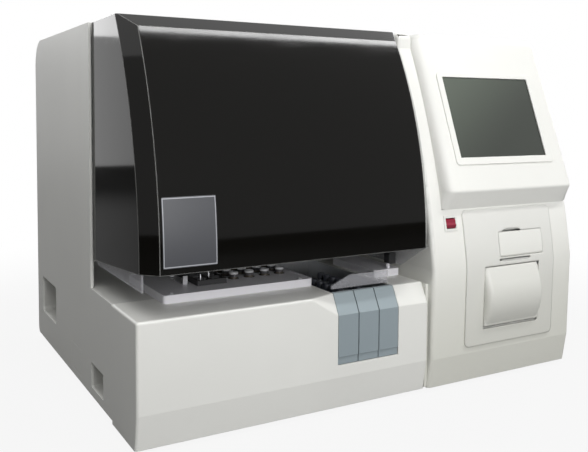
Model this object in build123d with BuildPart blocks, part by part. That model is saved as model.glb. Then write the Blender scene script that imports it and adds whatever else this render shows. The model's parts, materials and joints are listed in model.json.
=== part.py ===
from build123d import *
from math import asin, cos, degrees, hypot, radians, sqrt, tan
import os

# Bench-top coagulation analyzer, in millimetres.
# Places are given in the analyzer's own measures: x from the left side, y back from the plane
# of the front fascia, z up from the lower edge of the housing.

# Overall size
width = 1000.0
body_depth = 760.0
body_height = 719.0
foot_height = 8.0
foot_chamfer = 1.6
foot_d = 40.0
foot_inset = 60.0
bulge_out = 30.0
guard_proud = 4.0
overrun = 10.0

# Clearances
slide_gap = 0.3
pin_gap = 0.05
panel_gap = 0.5

# Sheet and moulding walls
panel_thick = 5.0
sheet = 3.0
moulding_wall = 3.0
rear_corner_r = 60.0
foot_corner_r = 15.0
panel_lift = 6.0
pan_front = 15.0
pan_rim = 20.0

# Front fascia and deck
fascia_width = 600.0
fascia_depth = 135.0
deck_height = 215.0
deck_depth = 520.0
band_height = 60.0
band_lean = 9.0
bevel_drop = 38.0
bevel_depth = 20.0
mitre_left = 326.0
fascia_edge_r = 5.0

# Sample racks and their lane
lane_left = 387.0
lane_width = 140.0
lane_floor = 83.0
lane_depth = 340.0
lane_lift = 1.0
rack_count = 3
rack_gap = 2.0
rack_width = 44.7
rack_body_width = 34.0
rack_length = 262.0
handle_depth = 16.0
handle_step = 14.0
handle_step_depth = 2.0
rack_floor = 8.0
rack_body_height = 74.0
tube_count = 10
tube_pitch = 24.0
tube_d = 13.0
tube_length = 100.0
stopper_d = 16.0
stopper_height = 14.0
rail_rise = 10.0
handle_lip = 8.0

# Clear guard over the rack entry
guard_left = 400.0
guard_right = 532.0
guard_y = 45.0
guard_thick = 4.0
guard_low = 222.0
guard_high = 240.0
guard_slope = 42.0
guard_foot = 14.0

# Reagent tray with vials and cuvettes, and the small right tray
tray_left = 80.0
tray_right = 386.0
tray_front = 90.0
tray_rear = 290.0
tray_height = 15.0
tray_rim = 4.0
insert_thick = 2.0
tray_corner_r = 6.0
vial_columns = 4
vial_rows = 3
vial_pitch = 34.0
vial_d = 22.0
vial_length = 38.0
vial_neck_d = 16.0
vial_neck_height = 4.0
vial_cap_d = 18.0
vial_cap_height = 9.0
vial_middle_x = 305.0
vial_middle_y = 205.0
vial_floor = 190.0
block_margin = 10.0
block_floor = 8.0
cuvette_left = 165.0
cuvette_right = 225.0
cuvette_front = 140.0
cuvette_rear = 270.0
cuvette_rise = 8.0
cuvette_wall = 4.0
cuvette_rows = 5
cuvette_depth = 22.0
cuvette_web = 3.0
right_tray_left = 535.0
right_tray_right = 598.0
right_tray_rear = 250.0
stop_pin_d = 8.0
stop_pin_x = 577.0
stop_pin_y = 102.0
stop_pin_height = 9.5

# Smoked hood
hood_left = 5.5
hood_right = 596.0
hood_wall = 4.0
hood_lip_y = -26.0
hood_lip_z = 292.0
hood_curve_r = 843.0
hood_bevel = 26.0
bevel_loss_share = 2 - sqrt(2)
hood_rear = 266.0
hood_rear_z = 270.0
hinge_y = 262.0
hinge_drop = 11.0
hinge_z = body_height - hinge_drop
hinge_pin_r = 4.0
hinge_ear_r = 7.0
hinge_ear_length = 34.0
hinge_ear_thick = 6.0
hinge_inset = 30.0
bracket_thick = 6.0
bracket_gap = 1.0
skirt_thick = 3.0
skirt_tuck = 24.0
left_skirt_z = 262.0
right_skirt_z = 240.0
right_skirt_front = 75.0
bumper_width = 16.0
bumper_chamfer = 2.0
bumper_depth = 20.0
bumper_height = 22.0
skirt_inset = 8.0

# Rear of the housing
cover_front = 275.0
cover_lip = 26.0
fan_size = 120.0
fan_depth = 25.0
fan_bore = 112.0
fan_hub_d = 40.0
fan_shaft_r = 2.5
fan_blades = 7
full_turn = 360.0
fan_blade_gap = 3.0
fan_root_pitch = 32.0
fan_tip_pitch = 50.0
fan_blade_thick = 2.0
fan_strut = 6.0
fan_struts = 3
fan_base_thick = 4.0
fan_inset = 130.0
fan_pitch = 150.0
fan_drop = 159.0
fan_xs = (width - fan_inset - fan_pitch, width - fan_inset)
fan_z = body_height - fan_drop
guard_rings = 4
guard_wire = 2.4
vent_width = 60.0
vent_height = 5.0
vent_pitch = 14.0
vent_rows = 10
vent_columns = 5
vent_column_pitch = 80.0
vent_x = 290.0
vent_z = body_height - fan_drop
inlet_inset = 100.0
inlet_x = width - inlet_inset
inlet_z = 110.0
inlet_width = 50.0
inlet_height = 30.0
inlet_depth = 26.0
inlet_flange = 2.0
inlet_mouth_width = 24.0
inlet_mouth_height = 16.0
inlet_mouth_depth = 18.0
inlet_pin_width = 2.0
inlet_pin_height = 5.0
inlet_pin_pitch = 7.0
inlet_pins = 3
inlet_pin_setback = 6.0

# Grips, cover plate and connector recess in the side panels
grip_inset = 51.0
grip_length = 142.0
grip_rear = body_depth - grip_inset
grip_front = grip_rear - grip_length
grip_low = 70.0
grip_high = 154.0
grip_corner_r = 10.0
grip_depth = 45.0
cover_plate_front = 346.0
cover_plate_rear = 428.0
cover_plate_low = 19.0
cover_plate_high = 72.0
cover_plate_thick = 2.0
port_front = 191.0
port_rear = 272.0
port_low = 23.0
port_high = 71.0
port_depth = 20.0
port_corner_r = 3.0
port_width = 24.0
port_height = 12.0
port_proud = 5.0
port_pitch = 34.0

# Working chamber and gantry
beam_left = 25.0
beam_right = 585.0
beam_setback = 75.0
beam_y = deck_depth - beam_setback
beam_depth = 40.0
beam_drop = 174.0
beam_low = body_height - beam_drop
beam_height = 60.0
beam_groove = 8.0
beam_groove_inset = 7.5
rail_height = 16.0
rail_depth = 12.0
rail_end_gap = 10.0
beam_bracket_width = 30.0
beam_bracket_rise = 24.0
carriage_x = 270.0
carriage_width = 60.0
carriage_depth = 44.0
carriage_height = 50.0
slide_fillet = 4.0
arm_width = 24.0
arm_height = 30.0
arm_tip = 50.0
arm_groove = 6.0
head_length = 40.0
head_wall = 4.0
head_gap = 10.7
head_y = beam_y - slide_gap - carriage_depth - head_gap - head_length / 2
mast_low = 406.0
mast_drop = 74.0
mast_high = body_height - mast_drop
mast_depth = 28.0
mast_thick = 4.0
holder_width = 15.0
holder_depth = 18.0
holder_height = 40.0
guide_height = 20.0
needle_d = 3.0
needle_tip = 392.0
optics_left = 395.0
optics_right = 545.0
optics_setback = 15.0
optics_depth = 120.0
optics_rear = deck_depth - optics_setback
optics_front = optics_rear - optics_depth
optics_height = 55.0
optics_step = 18.0
well_columns = 8
well_rows = 2
well_size = 9.0
well_pitch = 17.0
well_row_pitch = 40.0
well_depth = 20.0

# Tower front, seen from the side: foot, band line, waist and crest
tower_left = 606.0
tongue_setback = 8.0
tower_foot_y = 4.0
tower_band_y = -6.0
waist_y = -10.0
waist_z = 240.0
crest_y = 117.0
crest_z = 687.0
tower_curve_r = 1700.0
tower_top_r = 14.0
tower_edge_r = 8.0

# Monitor housing, leaning frame and screen
monitor_left = 640.0
monitor_low = 357.0
monitor_tip_y = -12.0
monitor_tip_z = 400.0
monitor_tip_r = 8.0
monitor_lean = 20.65
monitor_top_r = 25.0
monitor_edge_z = 395.0
monitor_edge_r = 7.0
screen_left = 688.0
screen_width = 245.0
screen_low = 65.0
screen_height = 178.0
screen_edge = 5.0
frame_side = 14.0
frame_right_side = 20.0
frame_top = 10.0
frame_bottom = 15.0
frame_proud = 2.5
frame_corner_r = 8.0

# Printer panel, door, roll and flap
panel_left = 690.0
panel_right = 940.0
panel_low = 73.0
panel_high = 354.0
panel_corner_r = 12.0
panel_proud = 3.0
panel_lap = 12.0
door_left = 739.0
door_right = 895.0
door_low = 112.0
door_high = 234.0
door_opening_low = 106.0
door_opening_high = 236.0
door_wall = 3.0
door_end_r = 12.0
door_shoulder_y = -23.0
door_shoulder_z = 206.0
door_belly_z = 171.0
door_back = -5.0
door_pivot_y = -4.5
door_pivot_z = 118.0
door_pin_r = 1.8
door_lug_r = 4.0
slot_left = 780.0
slot_right = 869.0
slot_low = 245.0
slot_high = 249.0
flap_left = 783.0
flap_right = 908.0
flap_low = 252.0
flap_high = 304.0
flap_barrel_r = 4.4
flap_pin_r = 1.0
flap_lug = 3.5
notch_x = 821.0
notch_width = 56.0
notch_height = 6.0
chassis_left = 733.0
chassis_right = 914.0
chassis_front = -4.0
chassis_rear = 78.0
chassis_low = 104.0
chassis_shelf_low = 241.0
chassis_high = 310.0
pocket_depth = 22.0
roll_r = 25.0
roll_width = 84.0
roll_y = 24.0
roll_z = 166.0
spindle_r = 6.3
platen_r = 6.0
platen_y = 2.0
platen_z = 222.0
platen_shaft_r = 2.0
head_bar_depth = 10.0
head_bar_height = 26.0
head_bar_gap = 1.0

# Rocker switch
switch_x = 659.0
switch_z = 330.0
switch_width = 28.0
switch_height = 25.0
switch_flange = 3.0
switch_wall = 3.0
switch_proud = 1.5
switch_depth = 20.0
rocker_pivot_depth = 7.0
rocker_half_angle = 7.0
rocker_crest = 4.0
rocker_valley = 1.5
rocker_back = 4.0
rocker_pin_r = 1.5

# Inside the housing
stand_y = 90.0
stand_left = 650.0
stand_right = 985.0
stand_high = 640.0
stand_foot = 30.0
supply_inset = 300.0
supply_left = width - supply_inset
supply_width = 200.0
supply_front = 400.0
supply_depth = 180.0
supply_height = 86.0
supply_chamfer = 4.0
pump_left = 90.0
pump_width = 180.0
pump_setback = 80.0
pump_depth = 120.0
pump_front = body_depth - pump_setback - pump_depth
pump_height = 230.0
pump_ledge_height = 76.0
pump_ledge_depth = 40.0
syringes = 3
syringe_d = 16.0
syringe_length = 90.0
syringe_pitch = 60.0
plunger_d = 8.0
plunger_length = 50.0
board_width = 240.0
board_height = 180.0
board_thick = 2.0
board_stand = 8.0
board_low = 420.0

# The frame: the origin is under the middle of the analyzer, on the table
left = -width / 2
front = bulge_out - (bulge_out + body_depth + guard_proud) / 2
base = foot_height
right = width

# Places that follow from the sizes
lane_right = lane_left + lane_width
tray_top = deck_height + tray_height
rear_panel_y = body_depth - sheet


def side_plane(x):
    """Upright plane x from the left side: depth across, height up, normal to the right."""
    return Plane(origin=(left + x, front, base), x_dir=(0, 1, 0), z_dir=(1, 0, 0))


def face_plane(y):
    """Upright plane y behind the fascia: width across, height up, normal to the front."""
    return Plane(origin=(left, front + y, base), x_dir=(1, 0, 0), z_dir=(0, -1, 0))


def level_plane(z):
    """Level plane z above the housing's lower edge: width across, depth up, normal up."""
    return Plane(origin=(left, front, base + z), x_dir=(1, 0, 0), z_dir=(0, 0, 1))


def block(x_span, y_span, z_span, mode=Mode.ADD):
    """Add or cut a block that fills a span on each axis."""
    with BuildSketch(level_plane(z_span[0])) as footprint:
        with Locations(((x_span[0] + x_span[1]) / 2, (y_span[0] + y_span[1]) / 2)):
            Rectangle(x_span[1] - x_span[0], y_span[1] - y_span[0])
    extrude(footprint.sketch, amount=z_span[1] - z_span[0], mode=mode)


def span_box(x_span, z_span, corner_r=0):
    """Draw a rectangle between two spans on the plane in use, with rounded corners."""
    with Locations(((x_span[0] + x_span[1]) / 2, (z_span[0] + z_span[1]) / 2)):
        if corner_r:
            RectangleRounded(x_span[1] - x_span[0], z_span[1] - z_span[0], corner_r)
        else:
            Rectangle(x_span[1] - x_span[0], z_span[1] - z_span[0])


def save(builder, name):
    """Label a finished piece and write it to its own file."""
    builder.part.label = name
    export_step(builder.part, f"parts/{name}.step")


os.makedirs("parts", exist_ok=True)

# Base pan: a folded tray that carries everything
with BuildPart() as base_pan:
    block((panel_thick, right - panel_thick), (pan_front, rear_panel_y), (0, pan_rim))
    block(
        (panel_thick + sheet, right - panel_thick - sheet),
        (pan_front - overrun, rear_panel_y - sheet),
        (sheet, pan_rim + overrun),
        Mode.SUBTRACT,
    )
save(base_pan, "base_pan")

# Rubber feet: one under each corner
with BuildPart() as rubber_feet:
    with BuildSketch(level_plane(0)):
        with Locations((width / 2, body_depth / 2)):
            with GridLocations(width - 2 * foot_inset, body_depth - 2 * foot_inset, 2, 2):
                Circle(foot_d / 2)
    extrude(amount=-foot_height)
    chamfer(rubber_feet.faces().filter_by(Axis.Z).group_by(Axis.Z)[0].edges(), foot_chamfer)
save(rubber_feet, "rubber_feet")


def rear_corners():
    """Rear of a side panel's outline: a small round foot corner and a large round top corner."""
    RadiusArc(
        (body_depth - foot_corner_r, panel_lift),
        (body_depth, panel_lift + foot_corner_r),
        -foot_corner_r,
    )
    Line((body_depth, panel_lift + foot_corner_r), (body_depth, body_height - rear_corner_r))
    RadiusArc(
        (body_depth, body_height - rear_corner_r),
        (body_depth - rear_corner_r, body_height),
        -rear_corner_r,
    )


# Left side panel: low under the hood, full height behind it
with BuildPart() as left_side_panel:
    with BuildSketch(side_plane(0)):
        with BuildLine():
            Polyline(
                (cover_front - sheet, body_height),
                (cover_front - sheet, deck_height),
                (fascia_depth, deck_height),
                (fascia_depth, panel_lift),
                (body_depth - foot_corner_r, panel_lift),
            )
            rear_corners()
            Line((body_depth - rear_corner_r, body_height), (cover_front - sheet, body_height))
        make_face()
        with Locations(((grip_front + grip_rear) / 2, (grip_low + grip_high) / 2)):
            RectangleRounded(
                grip_rear - grip_front, grip_high - grip_low, grip_corner_r, mode=Mode.SUBTRACT
            )
        with Locations(((port_front + port_rear) / 2, (port_low + port_high) / 2)):
            RectangleRounded(
                port_rear - port_front, port_high - port_low, port_corner_r, mode=Mode.SUBTRACT
            )
    extrude(amount=panel_thick)
    block(
        (-overrun, cover_plate_thick),
        (cover_plate_front - panel_gap, cover_plate_rear + panel_gap),
        (cover_plate_low - panel_gap, cover_plate_high + panel_gap),
        Mode.SUBTRACT,
    )
save(left_side_panel, "left_side_panel")

# Cover plate over the service port, set flush in a rebate of the left panel
with BuildPart() as port_cover_plate:
    with BuildSketch(side_plane(0)):
        span_box((cover_plate_front, cover_plate_rear), (cover_plate_low, cover_plate_high))
    extrude(amount=cover_plate_thick)
save(port_cover_plate, "port_cover_plate")

# Right side panel: starts behind the tower moulding
with BuildPart() as right_side_panel:
    with BuildSketch(side_plane(right - panel_thick)):
        with BuildLine():
            Polyline(
                (cover_front, body_height),
                (cover_front, panel_lift),
                (body_depth - foot_corner_r, panel_lift),
            )
            rear_corners()
            Line((body_depth - rear_corner_r, body_height), (cover_front, body_height))
        make_face()
        with Locations(((grip_front + grip_rear) / 2, (grip_low + grip_high) / 2)):
            RectangleRounded(
                grip_rear - grip_front, grip_high - grip_low, grip_corner_r, mode=Mode.SUBTRACT
            )
    extrude(amount=panel_thick)
save(right_side_panel, "right_side_panel")

# Grip cups: a rounded pocket behind each side panel's window
with BuildPart() as grip_cups:
    for mouth_x, inward in ((panel_thick, 1), (right - panel_thick, -1)):
        with BuildSketch(side_plane(mouth_x)):
            span_box(
                (grip_front - sheet, grip_rear + sheet),
                (grip_low - sheet, grip_high + sheet),
                grip_corner_r + sheet,
            )
        extrude(amount=inward * grip_depth)
        with BuildSketch(side_plane(mouth_x - inward * overrun)):
            span_box((grip_front, grip_rear), (grip_low, grip_high), grip_corner_r)
        extrude(amount=inward * (overrun + grip_depth - sheet), mode=Mode.SUBTRACT)
save(grip_cups, "grip_cups")

# Connector cup: a shallow pocket with two socket rims on its floor
port_floor = panel_thick + port_depth - sheet
with BuildPart() as connector_cup:
    with BuildSketch(side_plane(panel_thick)):
        span_box(
            (port_front - sheet, port_rear + sheet),
            (port_low - sheet, port_high + sheet),
            port_corner_r + sheet,
        )
    extrude(amount=port_depth)
    with BuildSketch(side_plane(panel_thick - overrun)):
        span_box((port_front, port_rear), (port_low, port_high), port_corner_r)
    extrude(amount=overrun + port_depth - sheet, mode=Mode.SUBTRACT)
    with BuildSketch(side_plane(port_floor - port_proud)):
        with Locations(((port_front + port_rear) / 2, (port_low + port_high) / 2)):
            with GridLocations(port_pitch, 0, 2, 1):
                Rectangle(port_width, port_height)
                Rectangle(port_width - sheet, port_height - sheet, mode=Mode.SUBTRACT)
    extrude(amount=port_proud)
save(connector_cup, "connector_cup")

# Rear panel: vent slots, two fan openings and the inlet window
with BuildPart() as rear_panel:
    with BuildSketch(face_plane(body_depth)):
        span_box((panel_thick, right - panel_thick), (0, body_height - rear_corner_r))
        with Locations((vent_x, vent_z)):
            with GridLocations(vent_column_pitch, vent_pitch, vent_columns, vent_rows):
                Rectangle(vent_width, vent_height, mode=Mode.SUBTRACT)
        with Locations(*[(x, fan_z) for x in fan_xs]):
            Circle(fan_bore / 2, mode=Mode.SUBTRACT)
        with Locations((inlet_x, inlet_z)):
            Rectangle(inlet_width, inlet_height, mode=Mode.SUBTRACT)
    extrude(amount=sheet)
save(rear_panel, "rear_panel")

# Top cover: flat top that rolls down to the rear panel, with a lip behind the hood
with BuildPart() as top_cover:
    with BuildSketch(side_plane(panel_thick)):
        with BuildLine():
            Line((cover_front, body_height), (body_depth - rear_corner_r, body_height))
            RadiusArc(
                (body_depth - rear_corner_r, body_height),
                (body_depth, body_height - rear_corner_r),
                rear_corner_r,
            )
            Line((body_depth, body_height - rear_corner_r), (rear_panel_y, body_height - rear_corner_r))
            RadiusArc(
                (rear_panel_y, body_height - rear_corner_r),
                (body_depth - rear_corner_r, body_height - sheet),
                -(rear_corner_r - sheet),
            )
            Polyline(
                (body_depth - rear_corner_r, body_height - sheet),
                (cover_front + sheet, body_height - sheet),
                (cover_front + sheet, body_height - cover_lip),
                (cover_front, body_height - cover_lip),
                (cover_front, body_height),
            )
        make_face()
    extrude(amount=right - 2 * panel_thick)
save(top_cover, "top_cover")

# Fan frames: square bodies with a round duct and a strutted motor seat
strut_reach = (fan_bore + fan_strut) / 2 / 2
with BuildPart() as fan_frames:
    with BuildSketch(face_plane(rear_panel_y)):
        with Locations(*[(x, fan_z) for x in fan_xs]):
            RectangleRounded(fan_size, fan_size, fan_strut)
            Circle(fan_bore / 2, mode=Mode.SUBTRACT)
    extrude(amount=fan_depth)
    with BuildSketch(face_plane(rear_panel_y - fan_depth + fan_base_thick)):
        with Locations(*[(x, fan_z) for x in fan_xs]):
            Circle(fan_hub_d / 2)
            with PolarLocations(strut_reach, fan_struts):
                Rectangle(2 * strut_reach, fan_strut)
    extrude(amount=fan_base_thick)
    with BuildSketch(face_plane(rear_panel_y - fan_base_thick)):
        with Locations(*[(x, fan_z) for x in fan_xs]):
            Circle(fan_shaft_r)
    extrude(amount=fan_depth - 2 * fan_base_thick)
save(fan_frames, "fan_frames")

# Fan rotors: a hub with twisted blades on the motor's shaft
rotor_rear = rear_panel_y - sheet
rotor_depth = fan_depth - 2 * sheet - fan_base_thick
for index, fan_x in enumerate(fan_xs):
    with BuildPart() as fan_rotor:
        with BuildSketch(face_plane(rotor_rear)):
            with Locations((fan_x, fan_z)):
                Circle(fan_hub_d / 2)
        extrude(amount=rotor_depth)
        hub_middle = Vector(left + fan_x, front + rotor_rear - rotor_depth / 2, base + fan_z)
        for turn in range(fan_blades):
            outward = Vector(1, 0, 0).rotate(Axis.Y, turn * full_turn / fan_blades)
            for reach, pitch in (
                (fan_hub_d / 2 - fan_blade_thick, fan_root_pitch),
                (fan_bore / 2 - fan_blade_gap, fan_tip_pitch),
            ):
                chord = (rotor_depth - fan_blade_thick) / cos(radians(pitch))
                with BuildSketch(Plane(hub_middle + outward * reach, x_dir=(0, 1, 0), z_dir=outward)):
                    Rectangle(chord, fan_blade_thick, rotation=pitch)
            loft()
        with BuildSketch(face_plane(rotor_rear + overrun)):
            with Locations((fan_x, fan_z)):
                Circle(fan_shaft_r + pin_gap)
        extrude(amount=rotor_depth + 2 * overrun, mode=Mode.SUBTRACT)
    save(fan_rotor, f"fan_rotor_{index + 1}")

# Fan guards: wire rings on a cross, outside the rear panel
with BuildPart() as fan_guards:
    with BuildSketch(face_plane(body_depth + guard_proud)):
        with Locations(*[(x, fan_z) for x in fan_xs]):
            for ring in range(1, guard_rings + 1):
                ring_r = ring * (fan_bore / 2 + guard_wire) / guard_rings
                Circle(ring_r)
                Circle(ring_r - guard_wire, mode=Mode.SUBTRACT)
                if ring > 1:
                    Circle((ring - 1) * (fan_bore / 2 + guard_wire) / guard_rings)
                    Circle(
                        (ring - 1) * (fan_bore / 2 + guard_wire) / guard_rings - guard_wire,
                        mode=Mode.SUBTRACT,
                    )
            Rectangle(fan_bore + 2 * guard_wire, guard_wire)
            Rectangle(guard_wire, fan_bore + 2 * guard_wire)
    extrude(amount=guard_proud)
save(fan_guards, "fan_guards")

# Power inlet: flange, body, socket mouth and three contact blades
with BuildPart() as power_inlet:
    with BuildSketch(face_plane(body_depth)):
        with Locations((inlet_x, inlet_z)):
            Rectangle(inlet_width - 2 * panel_gap, inlet_height - 2 * panel_gap)
    extrude(amount=inlet_depth)
    with BuildSketch(face_plane(body_depth + inlet_flange)):
        with Locations((inlet_x, inlet_z)):
            RectangleRounded(
                inlet_width + 2 * inlet_flange, inlet_height + 2 * inlet_flange, inlet_flange
            )
    extrude(amount=inlet_flange)
    with BuildSketch(face_plane(body_depth + inlet_flange)):
        with Locations((inlet_x, inlet_z)):
            Rectangle(inlet_mouth_width, inlet_mouth_height)
    extrude(amount=inlet_mouth_depth, mode=Mode.SUBTRACT)
    with BuildSketch(face_plane(body_depth - inlet_pin_setback)):
        with Locations((inlet_x, inlet_z)):
            with GridLocations(inlet_pin_pitch, 0, inlet_pins, 1):
                Rectangle(inlet_pin_width, inlet_pin_height)
    extrude(amount=inlet_mouth_depth - inlet_pin_setback)
save(power_inlet, "power_inlet")

# Front fascia: a low shell whose bevel fades out to the left of the racks
with BuildPart() as front_fascia:
    with BuildSketch(side_plane(0)):
        with BuildLine():
            Polyline(
                (band_lean, 0),
                (0, band_height),
                (0, deck_height),
                (fascia_depth, deck_height),
                (fascia_depth, 0),
                close=True,
            )
        make_face()
    extrude(amount=fascia_width)
    with BuildSketch(side_plane(lane_left)) as bevel_section:
        with BuildLine():
            Polyline(
                (0, deck_height - bevel_drop),
                (0, deck_height),
                (bevel_depth, deck_height),
                close=True,
            )
        make_face()
    extrude(amount=fascia_width - lane_left, mode=Mode.SUBTRACT)
    loft(
        sections=[
            Vertex(left + mitre_left, front, base + deck_height),
            bevel_section.sketch.face(),
        ],
        ruled=True,
        mode=Mode.SUBTRACT,
    )
    soft = front_fascia.edges().filter_by(
        lambda edge: base < edge.center().Z and edge.center().Y < front + fascia_depth - overrun
    )
    soft = soft.filter_by(lambda edge: abs(edge.center().Z - base - band_height) > overrun)
    soft = soft.filter_by(lambda edge: abs(edge.center().X - left - lane_left) > overrun)
    fillet(soft, fascia_edge_r)
    with BuildSketch(side_plane(moulding_wall)):
        with BuildLine():
            Polyline(
                (band_lean + moulding_wall, -overrun),
                (band_lean + moulding_wall, 0),
                (moulding_wall, band_height),
                (moulding_wall, deck_height - bevel_drop),
                (bevel_depth + moulding_wall, deck_height - moulding_wall),
                (fascia_depth + overrun, deck_height - moulding_wall),
                (fascia_depth + overrun, -overrun),
                close=True,
            )
        make_face()
    extrude(amount=fascia_width, mode=Mode.SUBTRACT)
    block(
        (lane_left, lane_right),
        (-overrun, fascia_depth + overrun),
        (lane_floor, deck_height + overrun),
        Mode.SUBTRACT,
    )
save(front_fascia, "front_fascia")

# Deck plate: open over the rack lanes and over the cooling block
vial_width = vial_columns * vial_pitch + block_margin
vial_depth = vial_rows * vial_pitch + block_margin
with BuildPart() as deck_plate:
    with BuildSketch(level_plane(deck_height - sheet)):
        span_box((panel_thick, fascia_width), (fascia_depth, deck_depth))
        with Locations(((lane_left + lane_right) / 2, (fascia_depth + lane_depth) / 2)):
            Rectangle(lane_width, lane_depth - fascia_depth, mode=Mode.SUBTRACT)
        with Locations((vial_middle_x, vial_middle_y)):
            Rectangle(vial_width + panel_gap, vial_depth + panel_gap, mode=Mode.SUBTRACT)
    extrude(amount=sheet)
save(deck_plate, "deck_plate")

# Cooling block: an aluminium block with a well for each vial
with BuildPart() as cooling_block:
    with BuildSketch(level_plane(vial_floor - block_floor)):
        with Locations((vial_middle_x, vial_middle_y)):
            Rectangle(vial_width - panel_gap, vial_depth - panel_gap)
    extrude(amount=deck_height - vial_floor + block_floor)
    with BuildSketch(level_plane(vial_floor)):
        with Locations((vial_middle_x, vial_middle_y)):
            with GridLocations(vial_pitch, vial_pitch, vial_columns, vial_rows):
                Circle(vial_d / 2 + slide_gap)
    extrude(amount=deck_height, mode=Mode.SUBTRACT)
save(cooling_block, "cooling_block")

# Reagent tray: a light rim round a sunken top, with round and square openings
with BuildPart() as reagent_tray:
    with BuildSketch(level_plane(deck_height)):
        span_box((tray_left, tray_right), (tray_front, tray_rear), tray_corner_r)
    extrude(amount=tray_height)
    with BuildSketch(level_plane(tray_top - insert_thick)):
        span_box(
            (tray_left + tray_rim, tray_right - tray_rim),
            (tray_front + tray_rim, tray_rear - tray_rim),
            tray_corner_r - tray_rim,
        )
    extrude(amount=insert_thick, mode=Mode.SUBTRACT)
    with BuildSketch(level_plane(deck_height - overrun)):
        with Locations((vial_middle_x, vial_middle_y)):
            with GridLocations(vial_pitch, vial_pitch, vial_columns, vial_rows):
                Circle(vial_d / 2 + panel_gap)
        span_box(
            (cuvette_left - panel_gap, cuvette_right + panel_gap),
            (cuvette_front - panel_gap, cuvette_rear + panel_gap),
        )
    extrude(amount=tray_height + 2 * overrun, mode=Mode.SUBTRACT)
save(reagent_tray, "reagent_tray")

# Vials: shouldered bottles standing in the wells, each with a screw cap
vial_shoulder = vial_floor + vial_length
with BuildPart() as vial_bodies:
    with BuildSketch(level_plane(vial_floor)):
        with Locations((vial_middle_x, vial_middle_y)):
            with GridLocations(vial_pitch, vial_pitch, vial_columns, vial_rows):
                Circle(vial_d / 2)
    extrude(amount=vial_length)
    with BuildSketch(level_plane(vial_shoulder)):
        with Locations((vial_middle_x, vial_middle_y)):
            with GridLocations(vial_pitch, vial_pitch, vial_columns, vial_rows):
                Circle(vial_neck_d / 2)
    extrude(amount=vial_neck_height)
save(vial_bodies, "vial_bodies")

with BuildPart() as vial_caps:
    with BuildSketch(level_plane(vial_shoulder + vial_neck_height)):
        with Locations((vial_middle_x, vial_middle_y)):
            with GridLocations(vial_pitch, vial_pitch, vial_columns, vial_rows):
                Circle(vial_cap_d / 2)
    extrude(amount=vial_cap_height)
save(vial_caps, "vial_caps")

# Cuvette holder: two columns of square cells, with a cuvette strip in each cell
cuvette_columns = 2
cell_width = (cuvette_right - cuvette_left - 2 * cuvette_wall + cuvette_web) / cuvette_columns - cuvette_web
cell_depth = (cuvette_rear - cuvette_front - 2 * cuvette_wall + cuvette_web) / cuvette_rows - cuvette_web
cuvette_top = tray_top + cuvette_rise
cuvette_middle = ((cuvette_left + cuvette_right) / 2, (cuvette_front + cuvette_rear) / 2)
with BuildPart() as cuvette_holder:
    block((cuvette_left, cuvette_right), (cuvette_front, cuvette_rear), (deck_height, cuvette_top))
    with BuildSketch(level_plane(cuvette_top - cuvette_depth)):
        with Locations(cuvette_middle):
            with GridLocations(
                cell_width + cuvette_web, cell_depth + cuvette_web, cuvette_columns, cuvette_rows
            ):
                Rectangle(cell_width, cell_depth)
    extrude(amount=cuvette_depth, mode=Mode.SUBTRACT)
save(cuvette_holder, "cuvette_holder")

with BuildPart() as cuvettes:
    with BuildSketch(level_plane(cuvette_top - cuvette_depth)):
        with Locations(cuvette_middle):
            with GridLocations(
                cell_width + cuvette_web, cell_depth + cuvette_web, cuvette_columns, cuvette_rows
            ):
                Rectangle(cell_width - 2 * slide_gap, cell_depth - 2 * slide_gap)
    extrude(amount=cuvette_depth - cuvette_web)
save(cuvettes, "cuvettes")

# Rack lane tray: floor, cheeks and back wall of the three lanes, with guide rails between
rack_total = rack_count * rack_width + (rack_count - 1) * rack_gap
rack_lefts = [
    (lane_left + lane_right - rack_total) / 2 + index * (rack_width + rack_gap)
    for index in range(rack_count)
]
rail_width = rack_width + rack_gap - rack_body_width - 2 * slide_gap
with BuildPart() as rack_lane_tray:
    block(
        (lane_left - sheet, lane_right + sheet),
        (moulding_wall, lane_depth + sheet),
        (lane_floor - sheet, lane_floor),
    )
    for cheek_x in (lane_left - sheet, lane_right):
        with BuildSketch(side_plane(cheek_x)):
            with BuildLine():
                Polyline(
                    (moulding_wall, lane_floor),
                    (moulding_wall, deck_height - bevel_drop - panel_gap),
                    (bevel_depth + moulding_wall + panel_gap, deck_height - moulding_wall),
                    (lane_depth + sheet, deck_height - moulding_wall),
                    (lane_depth + sheet, lane_floor),
                    close=True,
                )
            make_face()
        extrude(amount=sheet)
    block(
        (lane_left, lane_right),
        (lane_depth, lane_depth + sheet),
        (lane_floor, deck_height - moulding_wall),
    )
    for rack_left in rack_lefts[1:]:
        rail_x = rack_left - rack_gap / 2
        block(
            (rail_x - rail_width / 2, rail_x + rail_width / 2),
            (handle_depth + sheet, lane_depth),
            (lane_floor, lane_floor + rail_rise),
        )
save(rack_lane_tray, "rack_lane_tray")

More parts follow.
